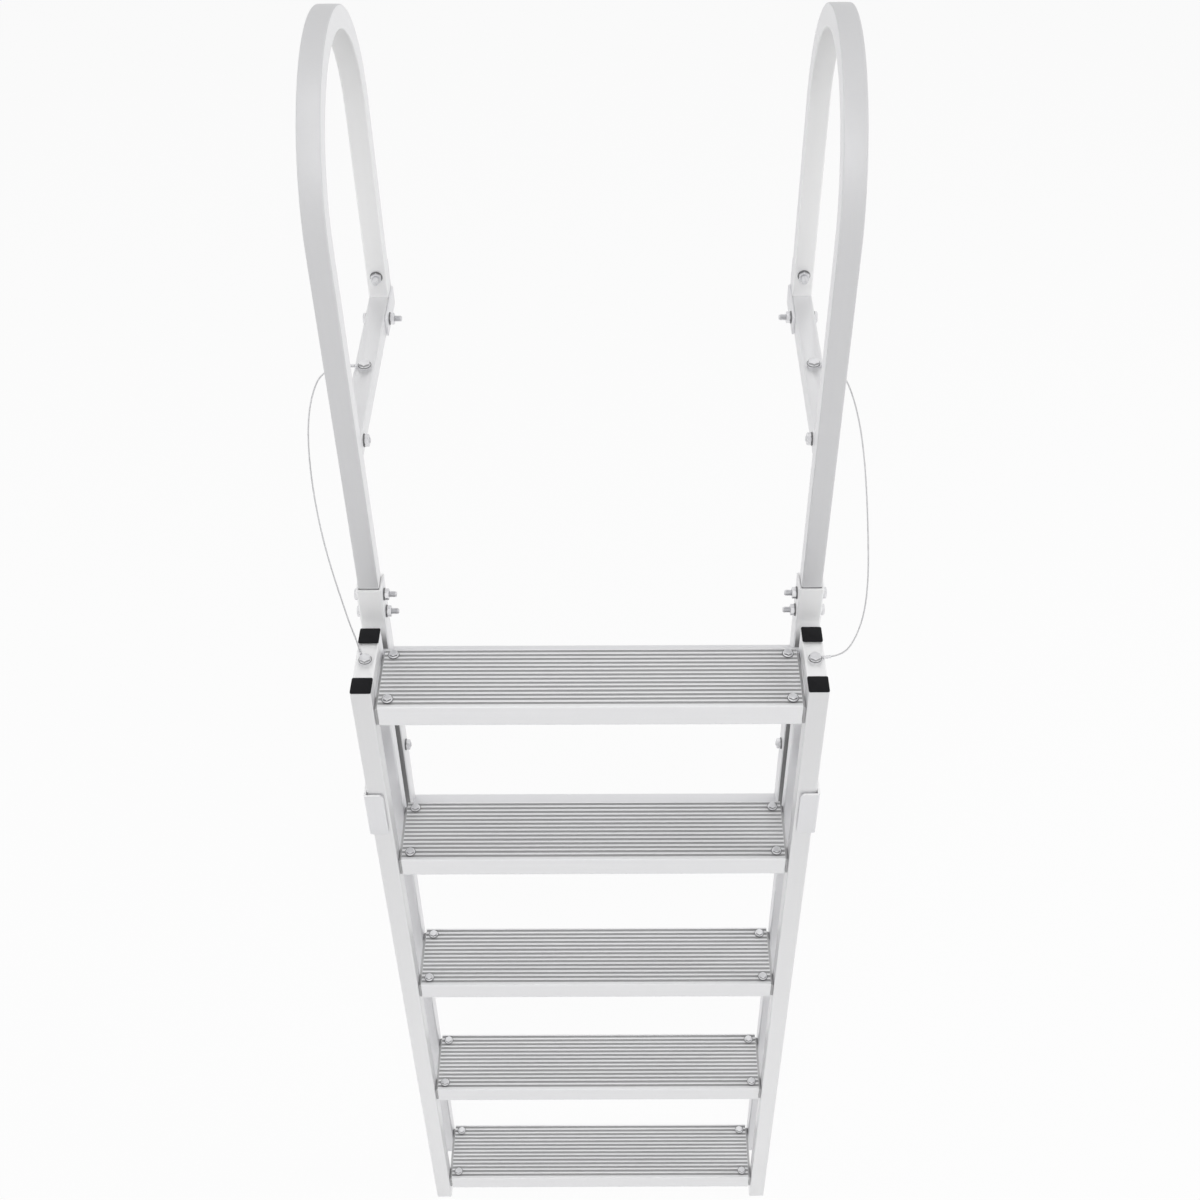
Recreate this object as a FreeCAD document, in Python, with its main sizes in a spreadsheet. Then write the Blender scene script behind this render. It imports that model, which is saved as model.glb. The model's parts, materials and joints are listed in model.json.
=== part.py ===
import FreeCAD, Part
import math
import os
import Sketcher

os.makedirs("parts", exist_ok=True)
doc = FreeCAD.newDocument("dock_ladder")

# Driving sizes, in millimetres.
# X runs to the right, Y towards the dock, Z up. The origin is in the middle
# of the top crossbar's rear face, which bears against the dock's edge.
SIZES = {
    # square tube of the whole ladder
    "tube": 25.4,
    "tubewall": 2.0,
    "corner": 2.2,
    # lifting ladder
    "railout": 2.0,
    "fronty": -141.3,
    "reary": -55.7,
    "railtop": 86.0,
    "railtail": 64.6,
    "capflange": 2.2,
    "capdepth": 12.0,
    "treadpitch": 300.0,
    "treadtop": 58.6,
    "treadgap": 4.3,
    "treadfront": -153.0,
    "treadrear": -53.0,
    "lipheight": 32.0,
    "lipreturn": 9.0,
    "treadskin": 3.0,
    "nose": 4.0,
    "ribheight": 1.6,
    "ribwide": 3.4,
    "ribpitch": 6.8,
    "ribcount": 14.0,
    "angleleg": 32.0,
    "angleinset": 4.0,
    "angleplay": 1.0,
    "hangertop": 46.0,
    "hangerplate": 4.0,
    "hangerreach": 33.0,
    "hangerspan": 92.0,
    "lipspan": 38.0,
    # fixed frame
    "framex": 273.0,
    "webthick": 3.0,
    "webdepth": 32.0,
    "channeltop": 138.4,
    "channelend": -320.0,
    "crosspitch": 300.0,
    "legend": 76.0,
    "archradius": 162.3,
    "archz": 606.0,
    "decktop": 326.5,
    "plate": 3.0,
    "bend": 3.0,
    "hooktop": -101.0,
    "hookheight": 77.0,
    "hookgap": 2.0,
    "hookreach": 25.0,
    "hookround": 6.0,
    "cornerreach": 50.0,
    "cornerrise": 45.0,
    # bolts, eyelets and running gaps
    "upperbolt": 119.2,
    "lowerbolt": 90.2,
    "hookbolt": -162.3,
    "legbolt": 30.0,
    "decky": 140.0,
    "boltradius": 4.0,
    "boltfit": 0.2,
    "hexradius": 7.5,
    "headheight": 5.0,
    "nutheight": 6.0,
    "threadend": 14.0,
    "shortend": 8.0,
    "barfrontbolt": 13.0,
    "barrearbolt": 30.0,
    "eyering": 8.0,
    "eyethick": 2.0,
    "eyereach": 9.5,
    "eyewide": 5.0,
    "barrelradius": 2.2,
    "barrellength": 10.0,
    "seat": 0.3,
}
sheet = doc.addObject("Spreadsheet::Sheet", "Sizes")
for row, (alias, value) in enumerate(SIZES.items(), start=1):
    sheet.set("A%d" % row, alias)
    sheet.set("B%d" % row, "%g" % value)
    sheet.setAlias("B%d" % row, alias)
slate = doc.addObject("Spreadsheet::Sheet", "Slate")
doc.recompute()

nodes = {}


def bound(text):
    """Turn the size names of a formula into references to the sheet."""
    words = []
    for word in text.replace("(", " ( ").replace(")", " ) ").split():
        sign = ""
        if word.startswith("-") and len(word) > 1:
            sign, word = "-", word[1:]
        words.append(sign + ("Sizes." + word if word in SIZES else word))
    return " ".join(words)


def measured(text):
    """A formula's present value, worked out in a cell of the slate."""
    slate.set("A1", "=" + bound(text))
    slate.recompute()
    value = slate.get("A1")
    return float(getattr(value, "Value", value))


def place(obj, x, y, z):
    for axis, text in zip("xyz", (x, y, z)):
        obj.setExpression("Placement.Base." + axis, bound(text))


TURNS = {
    "x": FreeCAD.Rotation(FreeCAD.Vector(0, 1, 0), 90),
    "y": FreeCAD.Rotation(FreeCAD.Vector(1, 0, 0), -90),
    "z": FreeCAD.Rotation(),
}


def sided_bar(name, x, y, z, radius, length, axis, count):
    obj = doc.addObject("Part::Prism", name)
    obj.Polygon = count
    obj.setExpression("Circumradius", bound(radius))
    obj.setExpression("Height", bound(length))
    obj.Placement = FreeCAD.Placement(FreeCAD.Vector(), TURNS[axis])
    place(obj, x, y, z)
    return obj


def rod(name, x, y, z, radius, length, axis):
    """A shank or bore; twelve sides are enough at the size of a bolt."""
    return sided_bar(name, x, y, z, radius, length, axis, 12)


def hexagon(name, x, y, z, length, axis):
    return sided_bar(name, x, y, z, "hexradius", length, axis, 6)


def join(name, pieces):
    if len(pieces) == 1:
        return pieces[0]
    obj = doc.addObject("Part::MultiFuse", name)
    obj.Shapes = pieces
    obj.Refine = True
    return obj


def cut(name, base, tool):
    obj = doc.addObject("Part::Cut", name)
    obj.Base = base
    obj.Tool = tool
    return obj


def mirrored(name, source):
    obj = doc.addObject("Part::Mirroring", name)
    obj.Source = source
    obj.Normal = FreeCAD.Vector(1, 0, 0)
    obj.Base = FreeCAD.Vector(0, 0, 0)
    return obj


def node(label, obj):
    obj.Label = label
    nodes[label] = obj


def sides(stem, obj):
    """A node on the left, and its mirror image as a node on the right."""
    node(stem + "_left", obj)
    node(stem + "_right", mirrored(stem + "_right", obj))


def both(label, obj):
    """One node that holds a piece and its mirror image."""
    group = doc.addObject("Part::Compound", label + "_pair")
    group.Links = [obj, mirrored(label + "_twin", obj)]
    node(label, group)


def new_sketch(body, name, role):
    sketch = body.newObject("Sketcher::SketchObject", name)
    origin_plane = next(f for f in body.Origin.OriginFeatures if f.Role == role)
    sketch.AttachmentSupport = [(origin_plane, "")]
    sketch.MapMode = "FlatFace"
    return sketch


def fix(sketch, kind, geometry, point, text, value):
    index = sketch.addConstraint(Sketcher.Constraint(kind, -1, 1, geometry, point, value))
    sketch.setExpression("Constraints[%d]" % index, bound(text))


def add_outline(sketch, points):
    """A closed outline whose corners are held by formulas in the sheet's sizes."""
    values = [(measured(a), measured(b)) for a, b in points]
    count = len(points)
    first = sketch.GeometryCount
    for i in range(count):
        start = FreeCAD.Vector(values[i][0], values[i][1], 0)
        end = FreeCAD.Vector(values[(i + 1) % count][0], values[(i + 1) % count][1], 0)
        sketch.addGeometry(Part.LineSegment(start, end), False)
    for i in range(count):
        follower = first + (i + 1) % count
        sketch.addConstraint(Sketcher.Constraint("Coincident", first + i, 2, follower, 1))
    for i, (a, b) in enumerate(points):
        fix(sketch, "DistanceX", first + i, 1, a, values[i][0])
        fix(sketch, "DistanceY", first + i, 1, b, values[i][1])


def add_rounded_square(sketch, centre_a, centre_b, half, radius):
    """A square with round corners, centred on two formulas."""
    a = measured(centre_a)
    b = measured(centre_b)
    h = measured(half)
    r = measured(radius)
    first = sketch.GeometryCount
    for quarter in range(4):
        turn = quarter * math.pi / 2
        c = math.cos(turn)
        s = math.sin(turn)

        def spot(u, v):
            return FreeCAD.Vector(a + c * u - s * v, b + s * u + c * v, 0)

        sketch.addGeometry(Part.LineSegment(spot(r - h, -h), spot(h - r, -h)), False)
        circle = Part.Circle(spot(h - r, r - h), FreeCAD.Vector(0, 0, 1), r)
        arc = Part.ArcOfCircle(circle, turn - math.pi / 2, turn)
        sketch.addGeometry(arc, False)
    for quarter in range(4):
        line = first + 2 * quarter
        following = first + (2 * quarter + 2) % 8
        sketch.addConstraint(Sketcher.Constraint("Tangent", line, 2, line + 1, 1))
        sketch.addConstraint(Sketcher.Constraint("Tangent", line + 1, 2, following, 1))
        kind = "Horizontal" if quarter % 2 == 0 else "Vertical"
        sketch.addConstraint(Sketcher.Constraint(kind, line))
        index = sketch.addConstraint(Sketcher.Constraint("Radius", line + 1, r))
        sketch.setExpression("Constraints[%d]" % index, bound(radius))
    fix(sketch, "DistanceY", first, 1, centre_b + " - " + half, b - h)
    fix(sketch, "DistanceX", first + 2, 1, centre_a + " + " + half, a + h)
    fix(sketch, "DistanceY", first + 4, 1, centre_b + " + " + half, b + h)
    fix(sketch, "DistanceX", first + 6, 1, centre_a + " - " + half, a - h)


def add_tube_section(sketch, centre_a, centre_b):
    """The tube's wall: a round-cornered square outside, a plain square inside."""
    add_rounded_square(sketch, centre_a, centre_b, "tube / 2", "corner")
    inner = "( tube / 2 - tubewall )"
    low_a = centre_a + " - " + inner
    high_a = centre_a + " + " + inner
    low_b = centre_b + " - " + inner
    high_b = centre_b + " + " + inner
    add_outline(sketch, [(low_a, low_b), (high_a, low_b), (high_a, high_b), (low_a, high_b)])


def add_flat_cornered_square(sketch):
    """The tube's outline with its corners cut flat."""
    side = "tube / 2"
    near = "( tube / 2 - corner / 2 )"
    points = []
    for a, b in ((side, near), (near, side)):
        points.append((a, b))
    for a, b in ((near, side), (side, near)):
        points.append(("-" + a, b))
    for a, b in ((side, near), (near, side)):
        points.append(("-" + a, "-" + b))
    for a, b in ((near, side), (side, near)):
        points.append((a, "-" + b))
    add_outline(sketch, points)


def add_bore_outline(sketch):
    """The square inside the tube's walls."""
    inner = "( tube / 2 - tubewall )"
    signs = (("-", "-"), ("", "-"), ("", ""), ("-", ""))
    add_outline(sketch, [(a + inner, b + inner) for a, b in signs])


def pad(body, sketch, length, middle=False):
    feature = body.newObject("PartDesign::Pad", sketch.Name + "_pad")
    feature.Profile = sketch
    feature.setExpression("Length", bound(length))
    feature.Midplane = middle
    body.Tip = feature
    return feature


def prism(name, role, points, length, at, middle=False):
    """A Body with one outline padded at right angles to its plane."""
    body = doc.addObject("PartDesign::Body", name)
    sketch = new_sketch(body, name + "_outline", role)
    add_outline(sketch, points)
    pad(body, sketch, length, middle)
    place(body, *at)
    return body


def straight_tube(name, role, centre_a, centre_b, length, at, middle=False):
    body = doc.addObject("PartDesign::Body", name)
    sketch = new_sketch(body, name + "_section", role)
    add_tube_section(sketch, centre_a, centre_b)
    pad(body, sketch, length, middle)
    place(body, *at)
    return body


def soften(body, name, radius, spots, axis):
    """Round the edges that run along an axis through the given spots."""
    doc.recompute()
    base = body.Tip
    others = [i for i in range(3) if i != "xyz".index(axis)]
    wanted = [[measured(text) for text in spot] for spot in spots]
    names = []
    for number, edge in enumerate(base.Shape.Edges, start=1):
        if len(edge.Vertexes) != 2 or not isinstance(edge.Curve, Part.Line):
            continue
        start, end = (v.Point for v in edge.Vertexes)
        if any(abs(start[i] - end[i]) > 1e-6 for i in others):
            continue
        here = [start[i] for i in others]
        if any(math.dist(here, spot) < 1e-3 for spot in wanted):
            names.append("Edge%d" % number)
    if len(names) != len(spots):
        raise RuntimeError("%s: %d edges for %d spots" % (name, len(names), len(spots)))
    feature = body.newObject("PartDesign::Fillet", name)
    feature.Base = (base, names)
    feature.setExpression("Radius", bound(radius))


# The ladder runs just outside the frame, and its rails reach below the last tread.
TREADS = 5
rail_x = "( framex + railout )"
tube_top = "( railtop - capflange )"
rail_length = "( " + tube_top + " - treadtop + %d * treadpitch + railtail )" % (TREADS - 1)
tread_half = "( framex + railout - tube / 2 - treadgap )"

# Rails: a front and a rear square tube on each side of the ladder.
for stem, centre in (("front_rail", "fronty"), ("rear_rail", "reary")):
    foot = ("-" + rail_x, centre, tube_top + " - " + rail_length)
    rail = straight_tube(stem, "XY_Plane", "0", "0", rail_length, foot)
    sides(stem, rail)

# Caps on the rail tops: a flange as wide as the tube, and a plug inside its walls.
caps = []
for end, centre in (("front", "fronty"), ("rear", "reary")):
    cap = doc.addObject("PartDesign::Body", "cap_" + end)
    plug_sketch = new_sketch(cap, "cap_plug_" + end, "XY_Plane")
    add_bore_outline(plug_sketch)
    pad(cap, plug_sketch, "capdepth").Reversed = True
    flange_sketch = new_sketch(cap, "cap_flange_" + end, "XY_Plane")
    add_flat_cornered_square(flange_sketch)
    pad(cap, flange_sketch, "capflange")
    place(cap, "-" + rail_x, centre, tube_top)
    caps.append(cap)
both("rail_caps", join("rail_cap_pair", caps))

# Short tube between the rail tops, that carries the lower lanyard bolt.
spacer_y = "( ( fronty + reary ) / 2 )"
spacer = straight_tube(
    "spacer_tube",
    "XZ_Plane",
    "0",
    "0",
    "reary - fronty - tube",
    ("-" + rail_x, spacer_y, tube_top + " - tube / 2"),
    True,
)
spacer_hole = rod(
    "spacer_hole",
    "-" + rail_x,
    spacer_y,
    tube_top + " - 1.5 * tube",
    "boltradius + boltfit",
    "2 * tube",
    "z",
)
sides("rail_spacer", cut("rail_spacer", spacer, spacer_hole))

# Treads: an extrusion with a ribbed top, a tall rounded nose and turned-in lips.
tread_profile = [
    ("treadfront", "-lipheight"),
    ("treadfront", "0"),
    ("treadrear", "0"),
    ("treadrear", "-lipheight"),
    ("treadrear - lipreturn", "-lipheight"),
    ("treadrear - lipreturn", "treadskin - lipheight"),
    ("treadrear - treadskin", "treadskin - lipheight"),
    ("treadrear - treadskin", "-ribheight - treadskin"),
    ("treadfront + treadskin", "-ribheight - treadskin"),
    ("treadfront + treadskin", "treadskin - lipheight"),
    ("treadfront + lipreturn", "treadskin - lipheight"),
    ("treadfront + lipreturn", "-lipheight"),
]
groove_profile = [
    ("treadfront + nose + ribwide / 2", "0"),
    ("treadfront + nose + ribpitch - ribwide / 2", "0"),
    ("treadfront + nose + ribpitch - ribwide / 2", "-ribheight"),
    ("treadfront + nose + ribwide / 2", "-ribheight"),
]
for number in range(TREADS):
    name = "tread_%d" % (number + 1)
    body = doc.addObject("PartDesign::Body", name)
    sketch = new_sketch(body, name + "_outline", "YZ_Plane")
    add_outline(sketch, tread_profile)
    pad(body, sketch, "2 * " + tread_half, True)
    soften(body, name + "_nose", "nose", [("treadfront", "0")], "x")
    groove = new_sketch(body, name + "_groove", "YZ_Plane")
    add_outline(groove, groove_profile)
    pocket = body.newObject("PartDesign::Pocket", name + "_pocket")
    pocket.Profile = groove
    pocket.setExpression("Length", bound("2 * " + rail_x))
    pocket.Midplane = True
    body.Tip = pocket
    pattern = body.newObject("PartDesign::LinearPattern", name + "_grooves")
    pattern.Originals = [pocket]
    pattern.Direction = (groove, ["H_Axis"])
    pattern.setExpression("Length", bound("ribpitch * ( ribcount - 1 )"))
    pattern.setExpression("Occurrences", bound("ribcount"))
    body.Tip = pattern
    place(body, "0", "0", "treadtop - %d * treadpitch" % number)
    node(name, body)

# Angle brackets that carry each tread between the front and rear rails.
angles = []
angle_front = "( fronty - tube / 2 + angleinset )"
angle_rear = "( treadrear - treadskin - angleplay )"
for number in range(TREADS):
    angle = prism(
        "bracket_%d" % (number + 1),
        "XZ_Plane",
        [
            ("0", "0"),
            ("angleleg", "0"),
            ("angleleg", "-plate"),
            ("plate", "-plate"),
            ("plate", "-angleleg + treadskin"),
            ("0", "-angleleg + treadskin"),
        ],
        angle_rear + " - " + angle_front,
        (
            "-" + rail_x + " + tube / 2",
            "( " + angle_rear + " + " + angle_front + " ) / 2",
            "treadtop - ribheight - treadskin - %d * treadpitch" % number,
        ),
        True,
    )
    soften(angle, "bracket_bend_%d" % (number + 1), "plate", [("0", "0")], "y")
    angles.append(angle)
sides("tread_brackets", join("bracket_set", angles))

# Hangers: bent plates on the rear rails, whose lips rest on the top crossbar.
hanger = doc.addObject("PartDesign::Body", "hanger")
hanger_low = "( tube / 2 + seat )"
lip_start = "( hangerspan - lipspan )"
sheet_part = new_sketch(hanger, "hanger_sheet", "XZ_Plane")
add_outline(
    sheet_part,
    [
        ("0", hanger_low + " + hangerplate"),
        (lip_start, hanger_low),
        ("hangerspan", hanger_low),
        ("hangerspan", "hangertop - hookround"),
        ("hangerspan - hookround", "hangertop"),
        ("0", "hangertop"),
    ],
)
sheet_pad = pad(hanger, sheet_part, "hangerplate")
sheet_pad.Reversed = True
lip_part = new_sketch(hanger, "hanger_lip", "XY_Plane")
lip_part.setExpression("AttachmentOffset.Base.z", bound(hanger_low))
add_outline(
    lip_part,
    [
        (lip_start, "0"),
        ("hangerspan", "0"),
        ("hangerspan", "hangerreach"),
        (lip_start, "hangerreach"),
    ],
)
pad(hanger, lip_part, "hangerplate")
place(hanger, "-" + rail_x + " - tube / 2", "reary + tube / 2", "0")
sides("hanger", hanger)

# Where bolts run across the channels, hoop legs and base bars.
leg_y = "( -webdepth + webthick + tube / 2 )"
rear_leg_y = "( -webdepth + webthick + tube / 2 + 2 * archradius )"
bar_z = "( decktop + tube / 2 )"
leg_bolt_z = "( decktop + tube + legbolt )"
CROSS = {
    "upper": (leg_y, "upperbolt"),
    "lower": (leg_y, "lowerbolt"),
    "hook": (leg_y, "hookbolt"),
    "barfront": (leg_y + " + tube / 2 + barfrontbolt", bar_z),
    "barrear": (rear_leg_y + " - tube / 2 - barrearbolt", bar_z),
}


def cross_holes(name, keys):
    tools = []
    for key in keys:
        y, z = CROSS[key]
        hole = rod(
            name + "_" + key, "-framex - 2 * tube", y, z, "boltradius + boltfit", "4 * tube", "x"
        )
        tools.append(hole)
    return join(name, tools)


def leg_hole(name):
    start = rear_leg_y + " - tube"
    return rod(name, "-framex", start, leg_bolt_z, "boltradius + boltfit", "2 * tube", "y")


# Channels: open towards the dock, each takes one leg of a hoop.
web_half = "( tube / 2 + webthick )"
channel = prism(
    "channel_profile",
    "XY_Plane",
    [
        ("-" + web_half, "0"),
        ("-" + web_half, "-webdepth"),
        (web_half, "-webdepth"),
        (web_half, "0"),
        ("tube / 2", "0"),
        ("tube / 2", "webthick - webdepth"),
        ("-tube / 2", "webthick - webdepth"),
        ("-tube / 2", "0"),
    ],
    "channeltop - channelend",
    ("-framex", "0", "channelend"),
)
soften(
    channel,
    "channel_bends",
    "bend",
    [("-" + web_half, "-webdepth"), (web_half, "-webdepth")],
    "z",
)
sides("channel", cut("channel", channel, cross_holes("channel_holes", ["upper", "lower", "hook"])))

# Crossbars tie the two channels together and bear against the dock.
for label, drop in (("crossbar_top", "0"), ("crossbar_bottom", "-crosspitch")):
    bar = straight_tube(
        label,
        "YZ_Plane",
        "0",
        "0",
        "2 * framex - tube - 2 * webthick",
        ("0", "-tube / 2", drop),
        True,
    )
    node(label, bar)

# Hoops: one square tube bent over in a half circle, its front leg in the channel.
hoop = doc.addObject("PartDesign::Body", "hoop_tube")
hoop_section = new_sketch(hoop, "hoop_section", "XY_Plane")
add_flat_cornered_square(hoop_section)
add_bore_outline(hoop_section)
hoop_path = new_sketch(hoop, "hoop_path", "YZ_Plane")
arch_level = measured("archz - legend")
rear_level = measured("decktop - legend")
arch = SIZES["archradius"]
for start, end in (((0, 0), (0, arch_level)), ((2 * arch, arch_level), (2 * arch, rear_level))):
    line = Part.LineSegment(FreeCAD.Vector(*start, 0), FreeCAD.Vector(*end, 0))
    hoop_path.addGeometry(line, False)
crown = Part.Circle(FreeCAD.Vector(arch, arch_level, 0), FreeCAD.Vector(0, 0, 1), arch)
hoop_path.addGeometry(Part.ArcOfCircle(crown, 0, math.pi), False)
hoop_path.addConstraint(Sketcher.Constraint("Coincident", 0, 1, -1, 1))
hoop_path.addConstraint(Sketcher.Constraint("Vertical", 0))
hoop_path.addConstraint(Sketcher.Constraint("Vertical", 1))
hoop_path.addConstraint(Sketcher.Constraint("Tangent", 0, 2, 2, 2))
hoop_path.addConstraint(Sketcher.Constraint("Tangent", 2, 1, 1, 1))
fix(hoop_path, "DistanceY", 0, 2, "archz - legend", arch_level)
fix(hoop_path, "DistanceX", 1, 1, "2 * archradius", 2 * arch)
fix(hoop_path, "DistanceY", 1, 2, "decktop - legend", rear_level)
doc.recompute()
bent_tube = hoop.newObject("PartDesign::AdditivePipe", "hoop_bent_tube")
bent_tube.Profile = hoop_section
bent_tube.Spine = hoop_path
hoop.Tip = bent_tube
place(hoop, "-framex", leg_y, "legend")
hoop_holes = join("hoop_holes", [cross_holes("leg_holes", ["upper", "lower"]), leg_hole("rear_hole")])
sides("hoop", cut("hoop", hoop, hoop_holes))

# Base bars lie on the deck between the front and rear legs.
bar = straight_tube(
    "bar_tube",
    "XZ_Plane",
    "0",
    "0",
    "2 * archradius - tube",
    ("-framex", leg_y + " + archradius", bar_z),
    True,
)
deck_hole = rod(
    "deck_hole",
    "-framex",
    "decky",
    "decktop - tube / 2",
    "boltradius + boltfit",
    "2 * tube",
    "z",
)
bar_cuts = join("bar_cuts", [cross_holes("bar_holes", ["barfront", "barrear"]), deck_hole])
sides("base_bar", cut("base_bar", bar, bar_cuts))

# Corner brackets: bent plates that tie each base bar to its rear leg.
side_start = "( -tube / 2 - cornerreach )"
corner_bracket = doc.addObject("PartDesign::Body", "corner_plate")
foot = new_sketch(corner_bracket, "corner_foot", "XY_Plane")
add_outline(
    foot,
    [
        ("tube / 2", side_start),
        ("tube / 2 + plate", side_start),
        ("tube / 2 + plate", "tube / 2 + plate"),
        ("-tube / 2", "tube / 2 + plate"),
        ("-tube / 2", "tube / 2"),
        ("tube / 2", "tube / 2"),
    ],
)
pad(corner_bracket, foot, "tube")
soften(corner_bracket, "corner_bend", "plate", [("tube / 2 + plate", "tube / 2 + plate")], "z")
back = new_sketch(corner_bracket, "corner_back", "XZ_Plane")
back.setExpression("AttachmentOffset.Base.z", bound("-tube / 2 - plate"))
add_outline(
    back,
    [
        ("-tube / 2", "0"),
        ("tube / 2", "0"),
        ("tube / 2", "tube + cornerrise - hookround"),
        ("tube / 2 - hookround", "tube + cornerrise"),
        ("hookround - tube / 2", "tube + cornerrise"),
        ("-tube / 2", "tube + cornerrise - hookround"),
    ],
)
pad(corner_bracket, back, "plate")
place(corner_bracket, "-framex", rear_leg_y, "decktop")
corner_cuts = join("corner_cuts", [cross_holes("corner_holes", ["barrear"]), leg_hole("corner_hole")])
sides("corner_bracket", cut("corner_bracket", corner_bracket, corner_cuts))

# Guide hooks: a side plate on the channel, bent round the front rail.
hook_out = "( -tube / 2 - webthick - plate )"
hook_front = "( fronty - tube / 2 - hookgap - plate )"
hook = prism(
    "hook_profile",
    "XY_Plane",
    [
        (hook_out, "0"),
        (hook_out, hook_front),
        (hook_out + " + hookreach", hook_front),
        (hook_out + " + hookreach", hook_front + " + plate"),
        (hook_out + " + plate", hook_front + " + plate"),
        (hook_out + " + plate", "0"),
    ],
    "hookheight",
    ("-framex", "0", "hooktop - hookheight"),
)
soften(hook, "hook_bend", "bend", [(hook_out, hook_front)], "z")
soften(
    hook,
    "hook_corners",
    "hookround",
    [(hook_out + " + hookreach", "0"), (hook_out + " + hookreach", "hookheight")],
    "y",
)
sides("guide_hook", cut("guide_hook", hook, cross_holes("hook_hole", ["hook"])))


# Through bolts: head on the outside, nut and thread end on the inner side.
def cross_bolt(name, key, head_x, nut_x, bare):
    y, z = CROSS[key]
    length = "( " + nut_x + " + " + bare + " ) - ( " + head_x + " )"
    shank = rod(name + "_shank", head_x, y, z, "boltradius", length, "x")
    head = hexagon(name + "_head", head_x + " - headheight", y, z, "headheight", "x")
    nut = hexagon(name + "_nut", nut_x, y, z, "nutheight", "x")
    return join(name, [shank, head, nut])


outer_face = "-framex - tube / 2 - webthick"
inner_face = "-framex + tube / 2 + webthick"
channel_bolts = [
    cross_bolt("channel_bolt_upper", "upper", outer_face, inner_face, "threadend"),
    cross_bolt("channel_bolt_lower", "lower", outer_face, inner_face, "threadend"),
    cross_bolt("channel_bolt_hook", "hook", outer_face + " - plate", inner_face, "shortend"),
]
both("channel_bolts", join("channel_bolt_set", channel_bolts))
bar_out = "-framex - tube / 2"
bar_in = "-framex + tube / 2"
bar_bolts = [
    cross_bolt("bar_bolt_rear", "barrear", bar_out, bar_in + " + plate", "threadend"),
    cross_bolt("bar_bolt_front", "barfront", bar_out, bar_in, "shortend"),
]
both("bar_bolts", join("bar_bolt_set", bar_bolts))

leg_front = rear_leg_y + " - tube / 2"
leg_back = rear_leg_y + " + tube / 2 + plate"
leg_shank = rod(
    "leg_shank",
    "-framex",
    leg_front + " - threadend",
    leg_bolt_z,
    "boltradius",
    "tube + plate + threadend",
    "y",
)
leg_head = hexagon("leg_head", "-framex", leg_back, leg_bolt_z, "headheight", "y")
leg_nut = hexagon("leg_nut", "-framex", leg_front + " - nutheight", leg_bolt_z, "nutheight", "y")
both("rear_leg_bolts", join("rear_leg_bolt", [leg_shank, leg_head, leg_nut]))


# Upright bolts that hold the eyelets of the lanyards.
def upright_bolt(name, x, y, face, depth):
    shank = rod(name + "_shank", x, y, face + " - " + depth, "boltradius", depth + " + eyethick", "z")
    head = hexagon(name + "_head", x, y, face + " + eyethick", "headheight", "z")
    return join(name, [shank, head])


both("deck_bolts", upright_bolt("deck_bolt", "-framex", "decky", "decktop + tube", "( tube - seat )"))
spacer_bolt = upright_bolt(
    "spacer_bolt", "-" + rail_x, spacer_y, tube_top, "( tube + nutheight )"
)
nut_foot = tube_top + " - tube - nutheight"
spacer_nut = hexagon("spacer_nut", "-" + rail_x, spacer_y, nut_foot, "nutheight", "z")
both("spacer_bolts", join("spacer_bolt_set", [spacer_bolt, spacer_nut]))


class Eye:
    """An eyelet under a bolt head: a ring, a tongue and a barrel crimped on the rope."""

    def __init__(self, name, spot, heading, aim, rise):
        self.name = name
        self.spot = spot
        self.heading = math.radians(heading)
        self.aim = FreeCAD.Vector(*aim)
        self.aim.normalize()
        self.rise = rise

    def solid(self):
        x, y, z = self.spot
        turn = FreeCAD.Rotation(FreeCAD.Vector(0, 0, 1), math.degrees(self.heading))
        ring = rod(self.name + "_ring", x, y, z, "eyering", "eyethick", "z")
        tongue = doc.addObject("Part::Box", self.name + "_tongue")
        tongue.setExpression("Length", bound("eyereach"))
        tongue.setExpression("Width", bound("eyewide"))
        tongue.setExpression("Height", bound("eyethick"))
        aside = turn.multVec(FreeCAD.Vector(0, -0.5, 0))
        tongue.Placement = FreeCAD.Placement(FreeCAD.Vector(), turn)
        place(tongue, x + " + %.6f * eyewide" % aside.x, y + " + %.6f * eyewide" % aside.y, z)
        root = (
            x + " + %.6f * eyereach" % math.cos(self.heading),
            y + " + %.6f * eyereach" % math.sin(self.heading),
            z + " + " + self.rise,
        )
        barrel = rod(self.name + "_barrel", *root, "barrelradius", "barrellength", "z")
        spin = FreeCAD.Rotation(FreeCAD.Vector(0, 0, 1), self.aim)
        barrel.Placement = FreeCAD.Placement(FreeCAD.Vector(), spin)
        place(barrel, *root)
        whole = join(self.name + "_whole", [ring, tongue, barrel])
        start = z + " - eyethick"
        hole = rod(
            self.name + "_hole", x, y, start, "boltradius + boltfit", "3 * eyethick", "z"
        )
        return cut(self.name, whole, hole)

    def mouth(self, ahead):
        """A point on the rope's line, some way out of the barrel."""
        x, y, z = self.spot
        reach = SIZES["eyereach"]
        spot = FreeCAD.Vector(measured(x), measured(y), measured(z + " + " + self.rise))
        spot += FreeCAD.Vector(math.cos(self.heading), math.sin(self.heading), 0) * reach
        return tuple(spot + self.aim * (SIZES["barrellength"] + SIZES["seat"] + ahead))


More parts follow.
